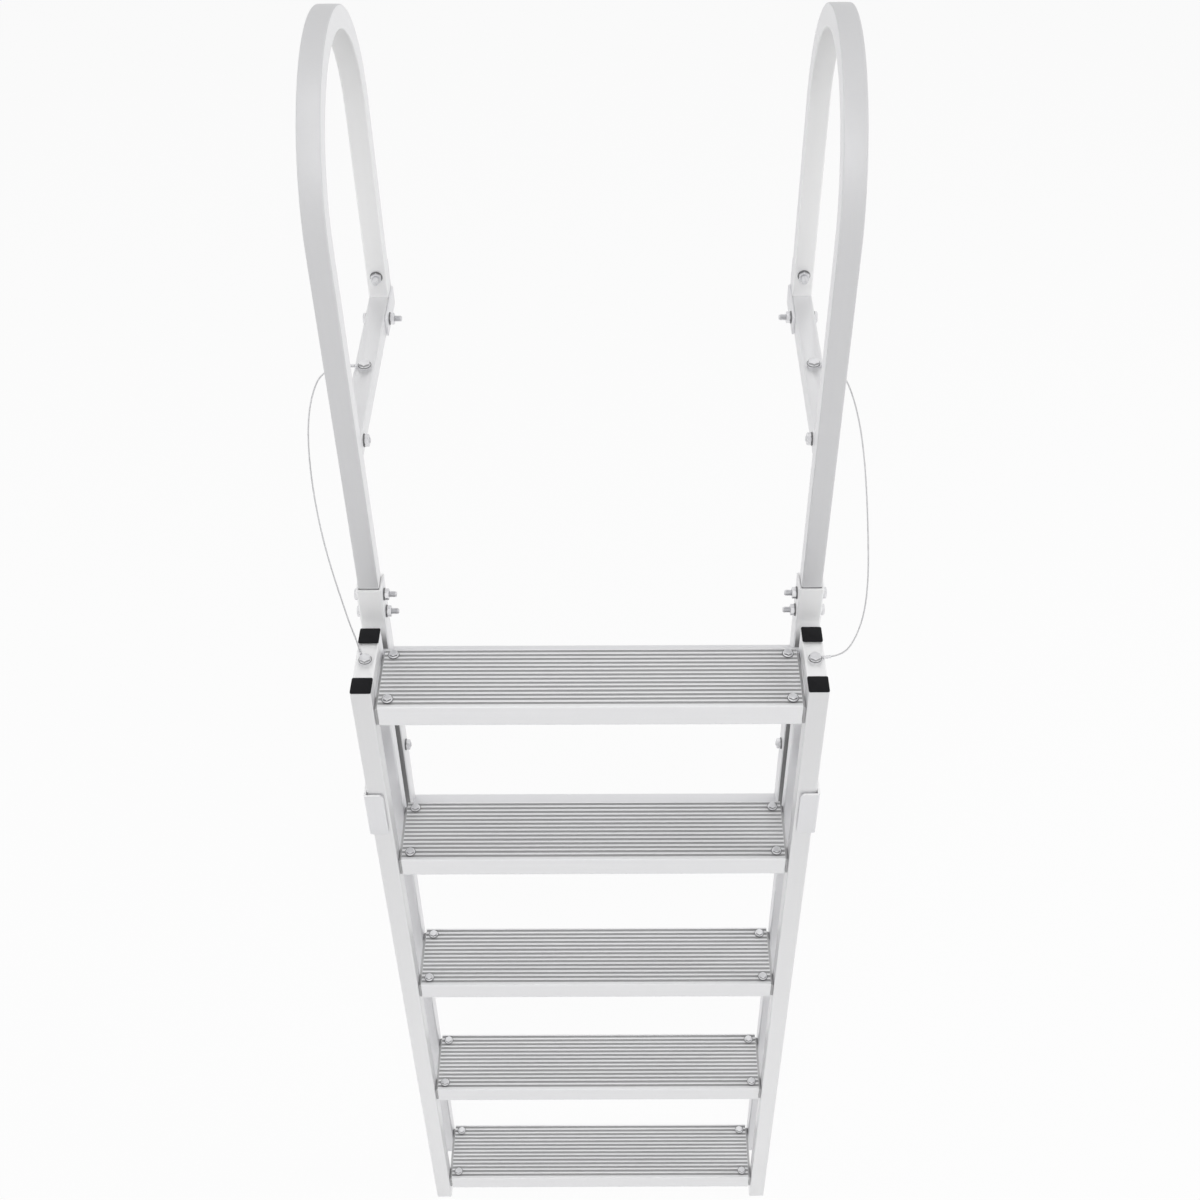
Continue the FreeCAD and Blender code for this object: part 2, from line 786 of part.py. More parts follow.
flat_rise = "barrelradius + seat"
steep_rise = "eyethick / 2"
deck_left = ("-framex", "decky", "decktop + tube")
deck_right = ("framex", "decky", "decktop + tube")
spacer_left = ("-" + rail_x, spacer_y, tube_top)
spacer_right = (rail_x, spacer_y, tube_top)
eyes = {
    "deck_left": Eye("deck_eye_left", deck_left, 188, (-1, -0.7, 0.45), flat_rise),
    "deck_right": Eye("deck_eye_right", deck_right, -12, (1, -0.6, 0.05), flat_rise),
    "spacer_left": Eye("spacer_eye_left", spacer_left, 127, (-0.14, 0.12, 0.98), steep_rise),
    "spacer_right": Eye("spacer_eye_right", spacer_right, 4, (1, 0.1, 0.12), flat_rise),
}
for place_name in ("deck", "spacer"):
    group = doc.addObject("Part::Compound", place_name + "_eyes")
    group.Links = [eyes[place_name + "_left"].solid(), eyes[place_name + "_right"].solid()]
    node(place_name + "_eyelets", group)

# Lanyards: thin coated wire ropes, from the deck bolts round outside the hoops.
LANYARD_RADIUS = 1.0
LANYARD_LEAD = 15.0
ROUTES = {
    "left": [
        (-319.0, 98.0, 370.0),
        (-325.0, 68.0, 364.5),
        (-327.0, 37.0, 352.0),
        (-325.0, 5.0, 335.0),
        (-320.0, -27.0, 311.0),
        (-313.5, -54.0, 279.0),
        (-305.5, -75.0, 242.0),
        (-297.5, -88.0, 205.0),
        (-291.0, -93.5, 168.0),
        (-287.6, -93.3, 140.0),
    ],
    "right": [
        (313.0, 99.0, 349.0),
        (320.0, 70.0, 335.0),
        (325.3, 41.0, 313.0),
        (329.0, 13.0, 283.0),
        (331.9, -12.0, 248.0),
        (334.4, -34.0, 210.0),
        (336.2, -53.0, 170.0),
        (333.2, -71.0, 133.0),
        (323.0, -86.0, 105.0),
    ],
}


def rounded_wire(points, label):
    """Straight runs joined by tangent arcs as large as the runs allow."""
    corners = [FreeCAD.Vector(*point) for point in points]
    edges = []
    radii = []
    start = corners[0]
    for before, here, after in zip(corners, corners[1:], corners[2:]):
        back = before - here
        ahead = after - here
        turn = math.pi - back.getAngle(ahead)
        trim = 0.45 * min(back.Length, ahead.Length)
        radius = trim / math.tan(turn / 2)
        radii.append(radius)
        back.normalize()
        ahead.normalize()
        inward = (back + ahead).normalize()
        centre = here + inward * (radius / math.cos(turn / 2))
        arc = Part.Arc(here + back * trim, centre - inward * radius, here + ahead * trim)
        edges.append(Part.LineSegment(start, here + back * trim).toShape())
        edges.append(arc.toShape())
        start = here + ahead * trim
    edges.append(Part.LineSegment(start, corners[-1]).toShape())
    wire = Part.Wire(edges)
    print(label, "length %.1f, arc radii" % wire.Length, " ".join("%.0f" % r for r in radii))
    return wire


def round_section(centre, heading, radius):
    """A six-sided section that stands for the round rope, of the same area."""
    count = 6
    reach = radius * math.sqrt(2 * math.pi / (count * math.sin(2 * math.pi / count)))
    circle = Part.Circle(centre, heading, reach)
    spots = [circle.value(2 * math.pi * i / count) for i in range(count)]
    return Part.makePolygon(spots + spots[:1])


for side, middle in ROUTES.items():
    upper = eyes["deck_" + side]
    lower = eyes["spacer_" + side]
    route = [upper.mouth(0), upper.mouth(LANYARD_LEAD)] + middle
    route += [lower.mouth(LANYARD_LEAD), lower.mouth(0)]
    print(side, "route", [tuple(round(v, 1) for v in point) for point in route])
    wire = rounded_wire(route, "lanyard " + side)
    heading = FreeCAD.Vector(*route[1]) - FreeCAD.Vector(*route[0])
    section = round_section(FreeCAD.Vector(*route[0]), heading, LANYARD_RADIUS)
    rope = wire.makePipeShell([section], True, False)
    expected = math.pi * LANYARD_RADIUS**2 * wire.Length
    print("volume %.0f against %.0f" % (rope.Volume, expected))
    lanyard = doc.addObject("Part::Feature", "lanyard_" + side)
    lanyard.Shape = rope
    node("lanyard_" + side, lanyard)

doc.recompute()
faulty = []
for obj in doc.Objects:
    for state in ("Invalid", "Error"):
        if state in obj.State:
            faulty.append((obj.Name, state))
for label, obj in nodes.items():
    if obj.Shape.isNull() or not obj.Shape.isValid():
        faulty.append((label, "shape"))
if faulty:
    raise RuntimeError("faulty: %s" % faulty)
for label, obj in nodes.items():
    obj.Shape.exportStep("parts/%s.step" % label)
print(len(nodes), "nodes")
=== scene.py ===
import json
import math

import bmesh
import bpy
from mathutils import Euler, Matrix, Vector


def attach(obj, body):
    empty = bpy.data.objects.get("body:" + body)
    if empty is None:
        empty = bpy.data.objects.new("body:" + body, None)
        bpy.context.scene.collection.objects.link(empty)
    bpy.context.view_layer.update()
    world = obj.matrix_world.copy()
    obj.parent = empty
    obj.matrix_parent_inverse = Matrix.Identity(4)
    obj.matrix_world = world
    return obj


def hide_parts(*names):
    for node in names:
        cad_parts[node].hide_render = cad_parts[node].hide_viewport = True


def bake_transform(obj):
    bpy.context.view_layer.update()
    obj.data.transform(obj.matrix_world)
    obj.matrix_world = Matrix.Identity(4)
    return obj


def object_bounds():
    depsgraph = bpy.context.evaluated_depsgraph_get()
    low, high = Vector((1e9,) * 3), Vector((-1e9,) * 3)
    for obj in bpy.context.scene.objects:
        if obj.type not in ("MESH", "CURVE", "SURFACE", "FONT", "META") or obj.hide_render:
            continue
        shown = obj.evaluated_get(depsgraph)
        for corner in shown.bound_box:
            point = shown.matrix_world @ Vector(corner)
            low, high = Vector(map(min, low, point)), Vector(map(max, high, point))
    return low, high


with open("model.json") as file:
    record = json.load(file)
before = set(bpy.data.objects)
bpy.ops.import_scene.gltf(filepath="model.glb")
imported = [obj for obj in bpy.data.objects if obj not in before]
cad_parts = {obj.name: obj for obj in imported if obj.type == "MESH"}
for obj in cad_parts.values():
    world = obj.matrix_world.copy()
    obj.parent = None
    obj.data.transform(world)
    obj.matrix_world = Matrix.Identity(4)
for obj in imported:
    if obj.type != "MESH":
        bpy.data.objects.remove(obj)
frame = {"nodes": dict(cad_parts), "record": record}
cad_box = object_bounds()

# Lengths in this script are in metres, X to the right, Y to the dock, Z up.
MM = 0.001
TUBE = 25.4 * MM
WALL = 2.0 * MM
CORNER = 2.2 * MM
CORNER_STEPS = 6
RAIL_X = 275.0 * MM
FRAME_X = 273.0 * MM
FRONT_Y = -141.3 * MM
REAR_Y = -55.7 * MM
CAP_FLANGE = 2.2 * MM
TUBE_TOP = 86.0 * MM - CAP_FLANGE
SPACER_Y = (FRONT_Y + REAR_Y) / 2
CHANNEL_WEB_Y = -29.0 * MM
LEG_Y = CHANNEL_WEB_Y + TUBE / 2
LEG_END = 76.0 * MM
ARCH_RADIUS = 162.3 * MM
ARCH_Z = 606.0 * MM
DECK_TOP = 326.5 * MM
DECK_BOLT_Y = 140.0 * MM
EYE_THICK = 2.0 * MM
SAME_SPOT = 1e-6
SQUARELY = 0.9
WHITE = (1.0, 1.0, 1.0)
BLACK = (0.0, 0.0, 0.0)


# ---------------------------------------------------------------- shading
# Where the Mix node has its share, its two colours and its result.
MIX_SHARE = 0
MIX_LOW = 6
MIX_HIGH = 7
MIX_COLOUR = 2


class Value:
    """A shader socket that can be used in sums and products."""

    def __init__(self, finish, socket):
        self.finish = finish
        self.socket = socket

    def maths(self, operation, *values):
        return self.finish.node("ShaderNodeMath", {"operation": operation}, *values)

    def __add__(self, other):
        return self.maths("ADD", self, other)

    __radd__ = __add__

    def __mul__(self, other):
        return self.maths("MULTIPLY", self, other)

    __rmul__ = __mul__

    def __sub__(self, other):
        return self.maths("SUBTRACT", self, other)

    def __rsub__(self, other):
        return self.maths("SUBTRACT", other, self)

    def above(self, edge):
        return self.maths("GREATER_THAN", self, edge)


class Finish:
    """A material and its shader nodes."""

    def __init__(self, name, data=None):
        self.data = data or bpy.data.materials.new(name)
        self.data.use_nodes = True
        self.tree = self.data.node_tree
        self.tree.nodes.clear()

    def node(self, kind, settings=None, *values, **named):
        """Adds a node: its settings first, then its sockets by order or by name."""
        made = self.tree.nodes.new(kind)
        for key, setting in (settings or {}).items():
            setattr(made, key, setting)
        pairs = list(enumerate(values))
        pairs += [(key.replace("_", " "), value) for key, value in named.items()]
        for key, value in pairs:
            if isinstance(value, Value):
                self.tree.links.new(value.socket, made.inputs[key])
            else:
                made.inputs[key].default_value = value
        return Value(self, made.outputs[0])

    def place(self):
        made = self.tree.nodes.new("ShaderNodeTexCoord")
        return Value(self, made.outputs["Object"])

    def height(self):
        made = self.tree.nodes.new("ShaderNodeSeparateXYZ")
        self.tree.links.new(self.place().socket, made.inputs[0])
        return Value(self, made.outputs["Z"])

    def rise(self, low, high):
        """Nought below one height, one above another and even between them."""
        return self.node(
            "ShaderNodeMapRange", None, Value=self.height(), From_Min=low, From_Max=high
        )

    def noise(self, scale, detail=2.0, roughness=0.5, stretch=(1, 1, 1)):
        spot = self.node("ShaderNodeMapping", None, Vector=self.place(), Scale=stretch)
        return self.node(
            "ShaderNodeTexNoise", None, Vector=spot, Scale=scale, Detail=detail, Roughness=roughness
        )

    def mix(self, share, low, high):
        """A colour between two others."""
        made = self.tree.nodes.new("ShaderNodeMix")
        made.data_type = "RGBA"
        for index, value in ((MIX_SHARE, share), (MIX_LOW, low), (MIX_HIGH, high)):
            if isinstance(value, Value):
                self.tree.links.new(value.socket, made.inputs[index])
            else:
                made.inputs[index].default_value = value if index == MIX_SHARE else (*value, 1)
        return Value(self, made.outputs[MIX_COLOUR])

    def bump(self, height, strength, distance):
        return self.node(
            "ShaderNodeBump", None, Strength=strength, Distance=distance, Height=height
        )

    def output(self, shader, kind="ShaderNodeOutputMaterial"):
        made = self.tree.nodes.new(kind)
        self.tree.links.new(shader.socket, made.inputs["Surface"])
        return self.data


# ---------------------------------------------------------------- finishes
# Heights between which painted light and shade come into a finish, and how much of its tone is left
# there.
CHANNEL_TOP = 138.4 * MM
JOINT_SHADOW_BAND = (CHANNEL_TOP - 0.2 * MM, CHANNEL_TOP + 1.5 * MM)
JOINT_SHADOW_TONE = 0.30
CHANNEL_SHADE_HEIGHTS = (50 * MM, 72 * MM)
CHANNEL_SHADE_TONE = 0.36
BEND_SHADE_HEIGHTS = (480 * MM, 720 * MM)
BEND_SHADE_TONE = 0.84
RAIL_SHADE_HEIGHTS = (-1206.0 * MM, 85.7 * MM)
RAIL_SHADE_SHARE = 0.16
# How coarse the patterns are, and how deep the grain is.
SPARKLE = 1900.0
STREAKS = 260.0
CLOUDS = 35.0
GRAIN_DEPTH = 0.0002
# Streaks run along the length of a tube.
ALONG_X = (0.03, 1, 1)
ALONG_Y = (1, 0.03, 1)
ALONG_Z = (1, 1, 0.03)


def toned(colour, tone):
    return tuple(c * tone for c in colour)


def painted_joint_shadow(finish, tint, colour):
    """A painted shadow: a dark line on the leg where it goes down into its channel."""
    low, high = JOINT_SHADOW_BAND
    above = finish.height().above(low)
    past = finish.height().above(high)
    return finish.mix(above - past, tint, toned(colour, JOINT_SHADOW_TONE))


def painted_shade_below(finish, tint, colour):
    """Painted shade: the channel's face is darkened low down, where the ladder's rails stand in
    front of it.
    """
    return finish.mix(finish.rise(*CHANNEL_SHADE_HEIGHTS), toned(colour, CHANNEL_SHADE_TONE), tint)


def painted_shade_up_bend(finish, tint, colour):
    """Painted shade: the inner side of a hoop grows a little darker up into the bend."""
    return finish.mix(finish.rise(*BEND_SHADE_HEIGHTS), tint, toned(colour, BEND_SHADE_TONE))


def painted_shade_to_top(finish, tint, _):
    """Painted light and shade: the front rails are lightest at their feet and grow a little darker
    all the way up.
    """
    return finish.mix(finish.rise(*RAIL_SHADE_HEIGHTS) * RAIL_SHADE_SHARE, tint, BLACK)


def satin_metal(name, colour, streak, shade_painter=None, metallic=0.55, roughness=0.42, grain=0.10):
    """Blasted and anodised aluminium: a fine sparkle over a soft even sheen."""
    finish = Finish(name)
    fine = finish.noise(SPARKLE, 2.0)
    cloud = finish.noise(CLOUDS, 3.0)
    lines = finish.noise(STREAKS, 2.0, 0.6, streak)
    tone = fine * 0.55 + cloud * 0.25 + lines * 0.20
    lighter = tuple(min(1.0, c) for c in toned(colour, 1.06))
    height = fine * 0.7 + lines * 0.3
    tint = finish.mix(tone, toned(colour, 0.92), lighter)
    # A shade painter lays painted light or shade over the tint by height.
    if shade_painter:
        tint = shade_painter(finish, tint, colour)
    shader = finish.node(
        "ShaderNodeBsdfPrincipled",
        None,
        Base_Color=tint,
        Metallic=metallic,
        Roughness=(cloud - 0.5) * 0.12 + ((fine - 0.5) * 0.16 + roughness),
        Normal=finish.bump(height, grain, GRAIN_DEPTH),
    )
    return finish.output(shader)


tube_finish = satin_metal("satin_tube", (0.895, 0.895, 0.91), ALONG_Z)
# A lighter copy of the tube finish for the front rails, as painted light, with painted shade
# growing towards the top.
rail_painted_light_finish = satin_metal("satin_front_rail_painted_light", (0.985, 0.985, 1.0), ALONG_Z, painted_shade_to_top)
# The hoop's finishes carry a painted shadow line on the leg just above the channel's top.
hoop_finish = satin_metal("satin_hoop", (0.89, 0.89, 0.90), ALONG_Z, painted_joint_shadow)
# A darker copy of the hoop's finish, painted shade for the outer side of the bend and the leg
# fronts.
bend_painted_shade_finish = satin_metal(
    "satin_hoop_outside_painted_shade", (0.71, 0.71, 0.72), ALONG_Z, painted_joint_shadow, roughness=0.44, grain=0.12
)
bar_finish = satin_metal("satin_bar", (0.86, 0.86, 0.875), ALONG_X)
spacer_finish = satin_metal("satin_spacer", (0.97, 0.97, 0.975), ALONG_Y, metallic=0.50)
# A lighter copy of the hoop's finish, painted light for the inner side of the rear leg, with
# painted shade up into the bend.
rear_leg_painted_light_finish = satin_metal(
    "satin_rear_leg_painted_light", (0.98, 0.98, 0.98), ALONG_Z, painted_shade_up_bend, metallic=0.50
)
base_finish = satin_metal("satin_base", (0.88, 0.88, 0.89), ALONG_Y)
plate_finish = satin_metal("satin_plate", (0.85, 0.85, 0.865), ALONG_Z, roughness=0.40, grain=0.08)
channel_finish = satin_metal("satin_channel", (0.90, 0.90, 0.91), ALONG_Z)
# A lighter copy of the channel's finish for its front faces as painted light, with painted shade
# low down behind the rails.
web_painted_light_and_shade_finish = satin_metal(
    "satin_channel_face_painted_light_and_shade", (0.96, 0.96, 0.965), ALONG_Z, painted_shade_below, metallic=0.40, roughness=0.62
)
# Sawn edges with a painted highlight on every face that looks upward.
edge_painted_highlight_finish = satin_metal(
    "sawn_edge_painted_highlight", (0.96, 0.96, 0.965), ALONG_X, metallic=0.20, roughness=0.34
)
# The tread brackets are painted dark as shade, so the gaps beside the tread ends read dark.
bracket_painted_shade_finish = satin_metal(
    "bracket_painted_shade_metal", (0.50, 0.50, 0.505), ALONG_Y, metallic=0.60, roughness=0.50, grain=0.20
)
tread_finish = satin_metal("satin_tread", (0.90, 0.90, 0.91), ALONG_X, roughness=0.45, grain=0.16)
# Painted shade for the recesses of the tread's grooves.
groove_painted_shade_finish = satin_metal(
    "tread_groove", (0.44, 0.44, 0.445), ALONG_X, metallic=0.35, roughness=0.55, grain=0.20
)


BOLT_CLOUDS = 150.0
BOLT_GRAIN = 1500.0
BOLT_GRAIN_DEPTH = 0.0001
ROPE_CLOUDS = 400.0
PLASTIC_CLOUDS = 120.0
PLASTIC_GRAIN = 1300.0


def bolt_metal(name, low, high, roughness):
    """Stainless steel of bolts: brighter and sharper than the tubes."""
    finish = Finish(name)
    cloud = finish.noise(BOLT_CLOUDS, 3.0)
    lines = finish.noise(BOLT_GRAIN, 2.0, 0.5, (1, 1, 0.2))
    shader = finish.node(
        "ShaderNodeBsdfPrincipled",
        None,
        Base_Color=finish.mix(cloud, (low, low, low * 1.02), (high, high, high * 1.02)),
        Metallic=1.0,
        Roughness=cloud * 0.12 + roughness,
        Normal=finish.bump(lines, 0.06, BOLT_GRAIN_DEPTH),
    )
    return finish.output(shader)


def rope_metal():
    """Thin stainless wire under a clear coat."""
    finish = Finish("wire_rope")
    cloud = finish.noise(ROPE_CLOUDS, 2.0)
    shader = finish.node(
        "ShaderNodeBsdfPrincipled",
        None,
        Base_Color=finish.mix(cloud, (0.62, 0.62, 0.63), (0.78, 0.78, 0.79)),
        Metallic=0.5,
        Roughness=cloud * 0.1 + 0.3,
        Coat_Weight=0.2,
    )
    return finish.output(shader)


def black_plastic():
    """Moulded black plastic with a faint grain."""
    finish = Finish("black_cap")
    fine = finish.noise(PLASTIC_GRAIN, 3.0)
    cloud = finish.noise(PLASTIC_CLOUDS, 2.0)
    shader = finish.node(
        "ShaderNodeBsdfPrincipled",
        None,
        Base_Color=finish.mix(cloud, (0.008, 0.008, 0.009), (0.016, 0.016, 0.018)),
        Roughness=cloud * 0.15 + 0.38,
        Specular_IOR_Level=0.1,
        Normal=finish.bump(fine, 0.15, GRAIN_DEPTH),
    )
    return finish.output(shader)


bolt_finish = bolt_metal("stainless_head", 0.58, 0.92, 0.24)
# A darker copy of the head's steel, painted shade for the upright flanks.
flank_painted_shade_finish = bolt_metal("stainless_flank_painted_shade", 0.30, 0.56, 0.26)
thread_finish = bolt_metal("stainless_thread", 0.58, 0.86, 0.30)
# Washers and flange rims are painted dark as the shade round a bolt's foot.
washer_painted_shade_finish = bolt_metal("stainless_washer_painted_shade", 0.16, 0.30, 0.34)
rope_finish = rope_metal()
cap_finish = black_plastic()


# ---------------------------------------------------------------- modelling
def unselect():
    bpy.ops.object.select_all(action="DESELECT")


def focus(obj):
    unselect()
    obj.select_set(True)
    bpy.context.view_layer.objects.active = obj


def settle(obj):
    """Puts an object's place, turn and size into its mesh."""
    focus(obj)
    bpy.ops.object.transform_apply(location=True, rotation=True, scale=True)


def begin_edit(obj, mode="FACE"):
    focus(obj)
    bpy.ops.object.mode_set(mode="EDIT")
    bpy.ops.mesh.select_mode(type=mode)


def end_edit():
    bpy.ops.object.mode_set(mode="OBJECT")


def select_whole():
    bpy.ops.mesh.select_all(action="SELECT")


def pick(kind, test):
    """Selects the vertices, edges or faces in edit mode that pass a test."""
    bpy.ops.mesh.select_all(action="DESELECT")
    data = bpy.context.object.data
    mesh = bmesh.from_edit_mesh(data)
    mesh.normal_update()
    for element in getattr(mesh, kind):
        if test(element):
            element.select_set(True)
    bmesh.update_edit_mesh(data)


def extrude(x, y, z):
    bpy.ops.mesh.extrude_region_move(TRANSFORM_OT_translate={"value": (x, y, z)})


def modify(obj, kind, **settings):
    modifier = obj.modifiers.new(kind.lower(), kind)
    for key, setting in settings.items():
        setattr(modifier, key, setting)
    focus(obj)
    bpy.ops.object.modifier_apply(modifier=modifier.name)


def ease(obj, width, angle=35.0, segments=2):
    """Takes the sharpness off an object's edges."""
    modify(
        obj,
        "BEVEL",
        width=width,
        segments=segments,
        limit_method="ANGLE",
        angle_limit=math.radians(angle),
        harden_normals=False,
    )


def smooth(obj, angle=32.0):
    focus(obj)
    bpy.ops.object.shade_smooth_by_angle(angle=math.radians(angle))


def tidy_normals(obj):
    begin_edit(obj)
    select_whole()
    bpy.ops.mesh.remove_doubles(threshold=SAME_SPOT)
    bpy.ops.mesh.normals_make_consistent(inside=False)
    end_edit()


def copied(obj, shift=(0, 0, 0), turn=None, flip=False):
    """A copy with a mesh of its own, moved, turned or mirrored in X."""
    twin = obj.copy()
    twin.data = obj.data.copy()
    bpy.context.collection.objects.link(twin)
    matrix = Matrix.Translation(shift) @ (turn or Matrix.Identity(4))
    if flip:
        matrix = Matrix.Diagonal((-1, 1, 1, 1)) @ matrix
    twin.data.transform(matrix)
    if flip:
        tidy_normals(twin)
    return twin


def joined(name, pieces):
    unselect()
    for piece in pieces:
        piece.select_set(True)
    bpy.context.view_layer.objects.active = pieces[0]
    bpy.ops.object.join()
    pieces[0].name = name
    pieces[0].data.name = name
    return pieces[0]


def ridden(obj, name, body, slot, *nodes):
    """Names a finished piece and gives it its body."""
    obj.name = name
    obj.data.name = name
    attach(obj, body)
    if nodes:
        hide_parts(*nodes)
    return obj


def finished(obj, finish):
    """Gives a single part its finish before it's joined to others."""
    obj.data.materials.clear()
    obj.data.materials.append(finish)
    return obj


def dressed(obj, name, finish, body, slot, *nodes):
    return ridden(finished(obj, finish), name, body, slot, *nodes)


def second_finish(piece, finish, test):
    """Gives the faces that pass a test a finish of their own."""
    piece.data.materials.append(finish)
    begin_edit(piece)
    pick("faces", test)
    piece.active_material_index = len(piece.data.materials) - 1
    bpy.ops.object.material_slot_assign()
    end_edit()


unselect()

# ---------------------------------------------------------------- camera
SENSOR = 36.0
FOCAL_PIXELS = 1554.3
FRAME_PIXELS = 1200.0
ASIDE_PIXELS = 17.5
FARTHEST = 60.0
DOWN = math.radians(43.169)
ROLL = math.radians(-0.196)
CAMERA_PLACE = (33.6 * MM, -1434.8 * MM, 1438.3 * MM)
lens = bpy.data.cameras.new("view")
lens.sensor_width = SENSOR
lens.lens = FOCAL_PIXELS / FRAME_PIXELS * SENSOR
lens.shift_x = -ASIDE_PIXELS / FRAME_PIXELS
lens.clip_end = FARTHEST
camera = bpy.data.objects.new("view", lens)
bpy.context.collection.objects.link(camera)
tilt = Euler((math.pi / 2 - DOWN, 0, 0)).to_matrix() @ Matrix.Rotation(ROLL, 3, "Z")
camera.matrix_world = Matrix.Translation(CAMERA_PLACE) @ tilt.to_4x4()
bpy.context.scene.camera = camera
bpy.context.scene.view_settings.view_transform = "Standard"

# ---------------------------------------------------------------- lanyards
ROPE_DIAMETER = 2.0 * MM
STRANDS = 6
STRAND_RADIUS = ROPE_DIAMETER / 6
ROPE_LAY = 14.0 * MM
ROUTE_STEPS = 24
# Where each lanyard runs, in millimetres, from its eyelet on the deck to the one on the ladder.
ROUTES = {
    "left": [
        (-290.3, 133.1, 358.0),
        (-301.9, 125.1, 363.2),
        (-319.0, 98.0, 370.0),
        (-325.0, 68.0, 364.5),
        (-327.0, 37.0, 352.0),
        (-325.0, 5.0, 335.0),
        (-320.0, -27.0, 311.0),
        (-313.5, -54.0, 279.0),
        (-305.5, -75.0, 242.0),
        (-297.5, -88.0, 205.0),
        (-291.0, -93.5, 168.0),
        (-287.6, -93.3, 140.0),
        (-284.3, -87.9, 109.7),
        (-282.2, -89.7, 94.9),
    ],
    "right": [
        (291.1, 132.7, 354.8),
        (304.0, 125.0, 355.5),
        (313.0, 99.0, 349.0),
        (320.0, 70.0, 335.0),
        (325.3, 41.0, 313.0),
        (329.0, 13.0, 283.0),
        (331.9, -12.0, 248.0),
        (334.4, -34.0, 210.0),
        (336.2, -53.0, 170.0),
        (333.2, -71.0, 133.0),
        (323.0, -86.0, 105.0),
        (309.5, -95.3, 89.3),
        (294.7, -96.8, 87.5),
    ],
}


def at(spot):
    return Vector(spot) * MM


def middle_line(route):
    """Points close together down the smooth line that follows a route."""
    line = bpy.data.curves.new("route", "CURVE")
    line.dimensions = "3D"
    line.resolution_u = ROUTE_STEPS
    spline = line.splines.new("NURBS")
    spline.points.add(len(route) - 1)
    for point, spot in zip(spline.points, route):
        point.co = (*at(spot), 1)
    spline.order_u = 3
    spline.use_endpoint_u = True
    bare = bpy.data.meshes.new_from_object(bpy.data.objects.new("route", line))
    points = [vertex.co.copy() for vertex in bare.vertices]
    bpy.data.meshes.remove(bare)
    bpy.data.curves.remove(line)
    return points


def laid_rope(points):
    """Six round strands laid about a middle line, with a full turn every lay length."""
    line = bpy.data.curves.new("rope", "CURVE")
    line.dimensions = "3D"
    line.bevel_depth = STRAND_RADIUS
    line.bevel_resolution = 1
    line.use_fill_caps = True
    strands = [line.splines.new("POLY") for _ in range(STRANDS)]
    for strand in strands:
        strand.points.add(len(points) - 1)
    out = (points[1] - points[0]).orthogonal()
    gone = 0.0
    for i, point in enumerate(points):
        along = (points[min(i + 1, len(points) - 1)] - points[max(i - 1, 0)]).normalized()
        out = (out - along * out.dot(along)).normalized()
        gone += (point - points[max(i - 1, 0)]).length
        for k, strand in enumerate(strands):
            turn = Matrix.Rotation(math.tau * (gone / ROPE_LAY + k / STRANDS), 3, along)
            strand.points[i].co = (*(point + turn @ out * STRAND_RADIUS * 2), 1)
    rope = bpy.data.objects.new("rope", line)
    bpy.context.collection.objects.link(rope)
    focus(rope)
    bpy.ops.object.convert(target="MESH")
    bpy.ops.object.shade_smooth()
    return bpy.context.object


for side, route in ROUTES.items():
    points = middle_line(route)
    rope = finished(laid_rope(points), rope_finish)
    rope.name = rope.data.name = "wire_lanyard_" + side
    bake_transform(rope)
    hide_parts("lanyard_" + side)


# ---------------------------------------------------------------- hoops
ARCH_STEPS = 64
SIDE_REACH = 1 * MM


def round_corners(offset, segments):
    """Rounds the picked corners of a flat face."""
    bpy.ops.mesh.bevel(offset=offset, segments=segments, affect="VERTICES")


def tube_outline(place):
    """The tube's outer outline as a flat face, left in edit mode with all of it selected."""
    bpy.ops.mesh.primitive_plane_add(size=TUBE, location=place)
    outline = bpy.context.object
    settle(outline)
    begin_edit(outline, "VERT")
    select_whole()
    round_corners(CORNER, CORNER_STEPS)
    bpy.ops.mesh.select_mode(type="FACE")
    select_whole()
    return outline


def hooped_rail():
    """One square tube: up, over in a half circle and down to the deck."""
    hoop = tube_outline((-FRAME_X, LEG_Y, LEG_END))
    bpy.ops.mesh.inset(thickness=WALL)
    bpy.ops.mesh.delete(type="FACE")
    select_whole()
    extrude(0, 0, ARCH_Z - LEG_END)
    top = (-FRAME_X, LEG_Y + ARCH_RADIUS, ARCH_Z)
    bpy.ops.mesh.spin(steps=ARCH_STEPS, angle=math.pi, center=top, axis=(1, 0, 0))
    extrude(0, 0, DECK_TOP - ARCH_Z)
    end_edit()
    tidy_normals(hoop)
    smooth(hoop)
    return hoop


def way_out(face):
    """How far out of the hoop's middle line a face lies, and how much it faces outward."""
    spot = face.calc_center_median()
    away = Vector((0, spot.y - LEG_Y - ARCH_RADIUS, max(0.0, spot.z - ARCH_Z)))
    return away.length - ARCH_RADIUS, face.normal.dot(away.normalized())


def outside_of_bend(face):
    """True for the faces on the hoop's outer side, from the channel over the top to the deck."""
    out, facing = way_out(face)
    return out > TUBE / 2 - SIDE_REACH and facing > 0.5


def inside_of_rear_leg(face):
    """True for the faces on the hoop's inner side, from the top down the rear leg."""
    out, facing = way_out(face)
    rear_half = face.calc_center_median().y > LEG_Y + ARCH_RADIUS
    return rear_half and out < SIDE_REACH - TUBE / 2 and facing < -0.5


hoop_left = finished(hooped_rail(), hoop_finish)
# Painted shade on the hoop's outer side.
second_finish(hoop_left, bend_painted_shade_finish, outside_of_bend)
# Painted light on the inner side of the rear leg.
second_finish(hoop_left, rear_leg_painted_light_finish, inside_of_rear_leg)
hoop_right = copied(hoop_left, flip=True)
ridden(hoop_left, "handrail_hoop_left", "dock_frame", "tube_aluminium", "hoop_left")
ridden(hoop_right, "handrail_hoop_right", "dock_frame", "tube_aluminium", "hoop_right")


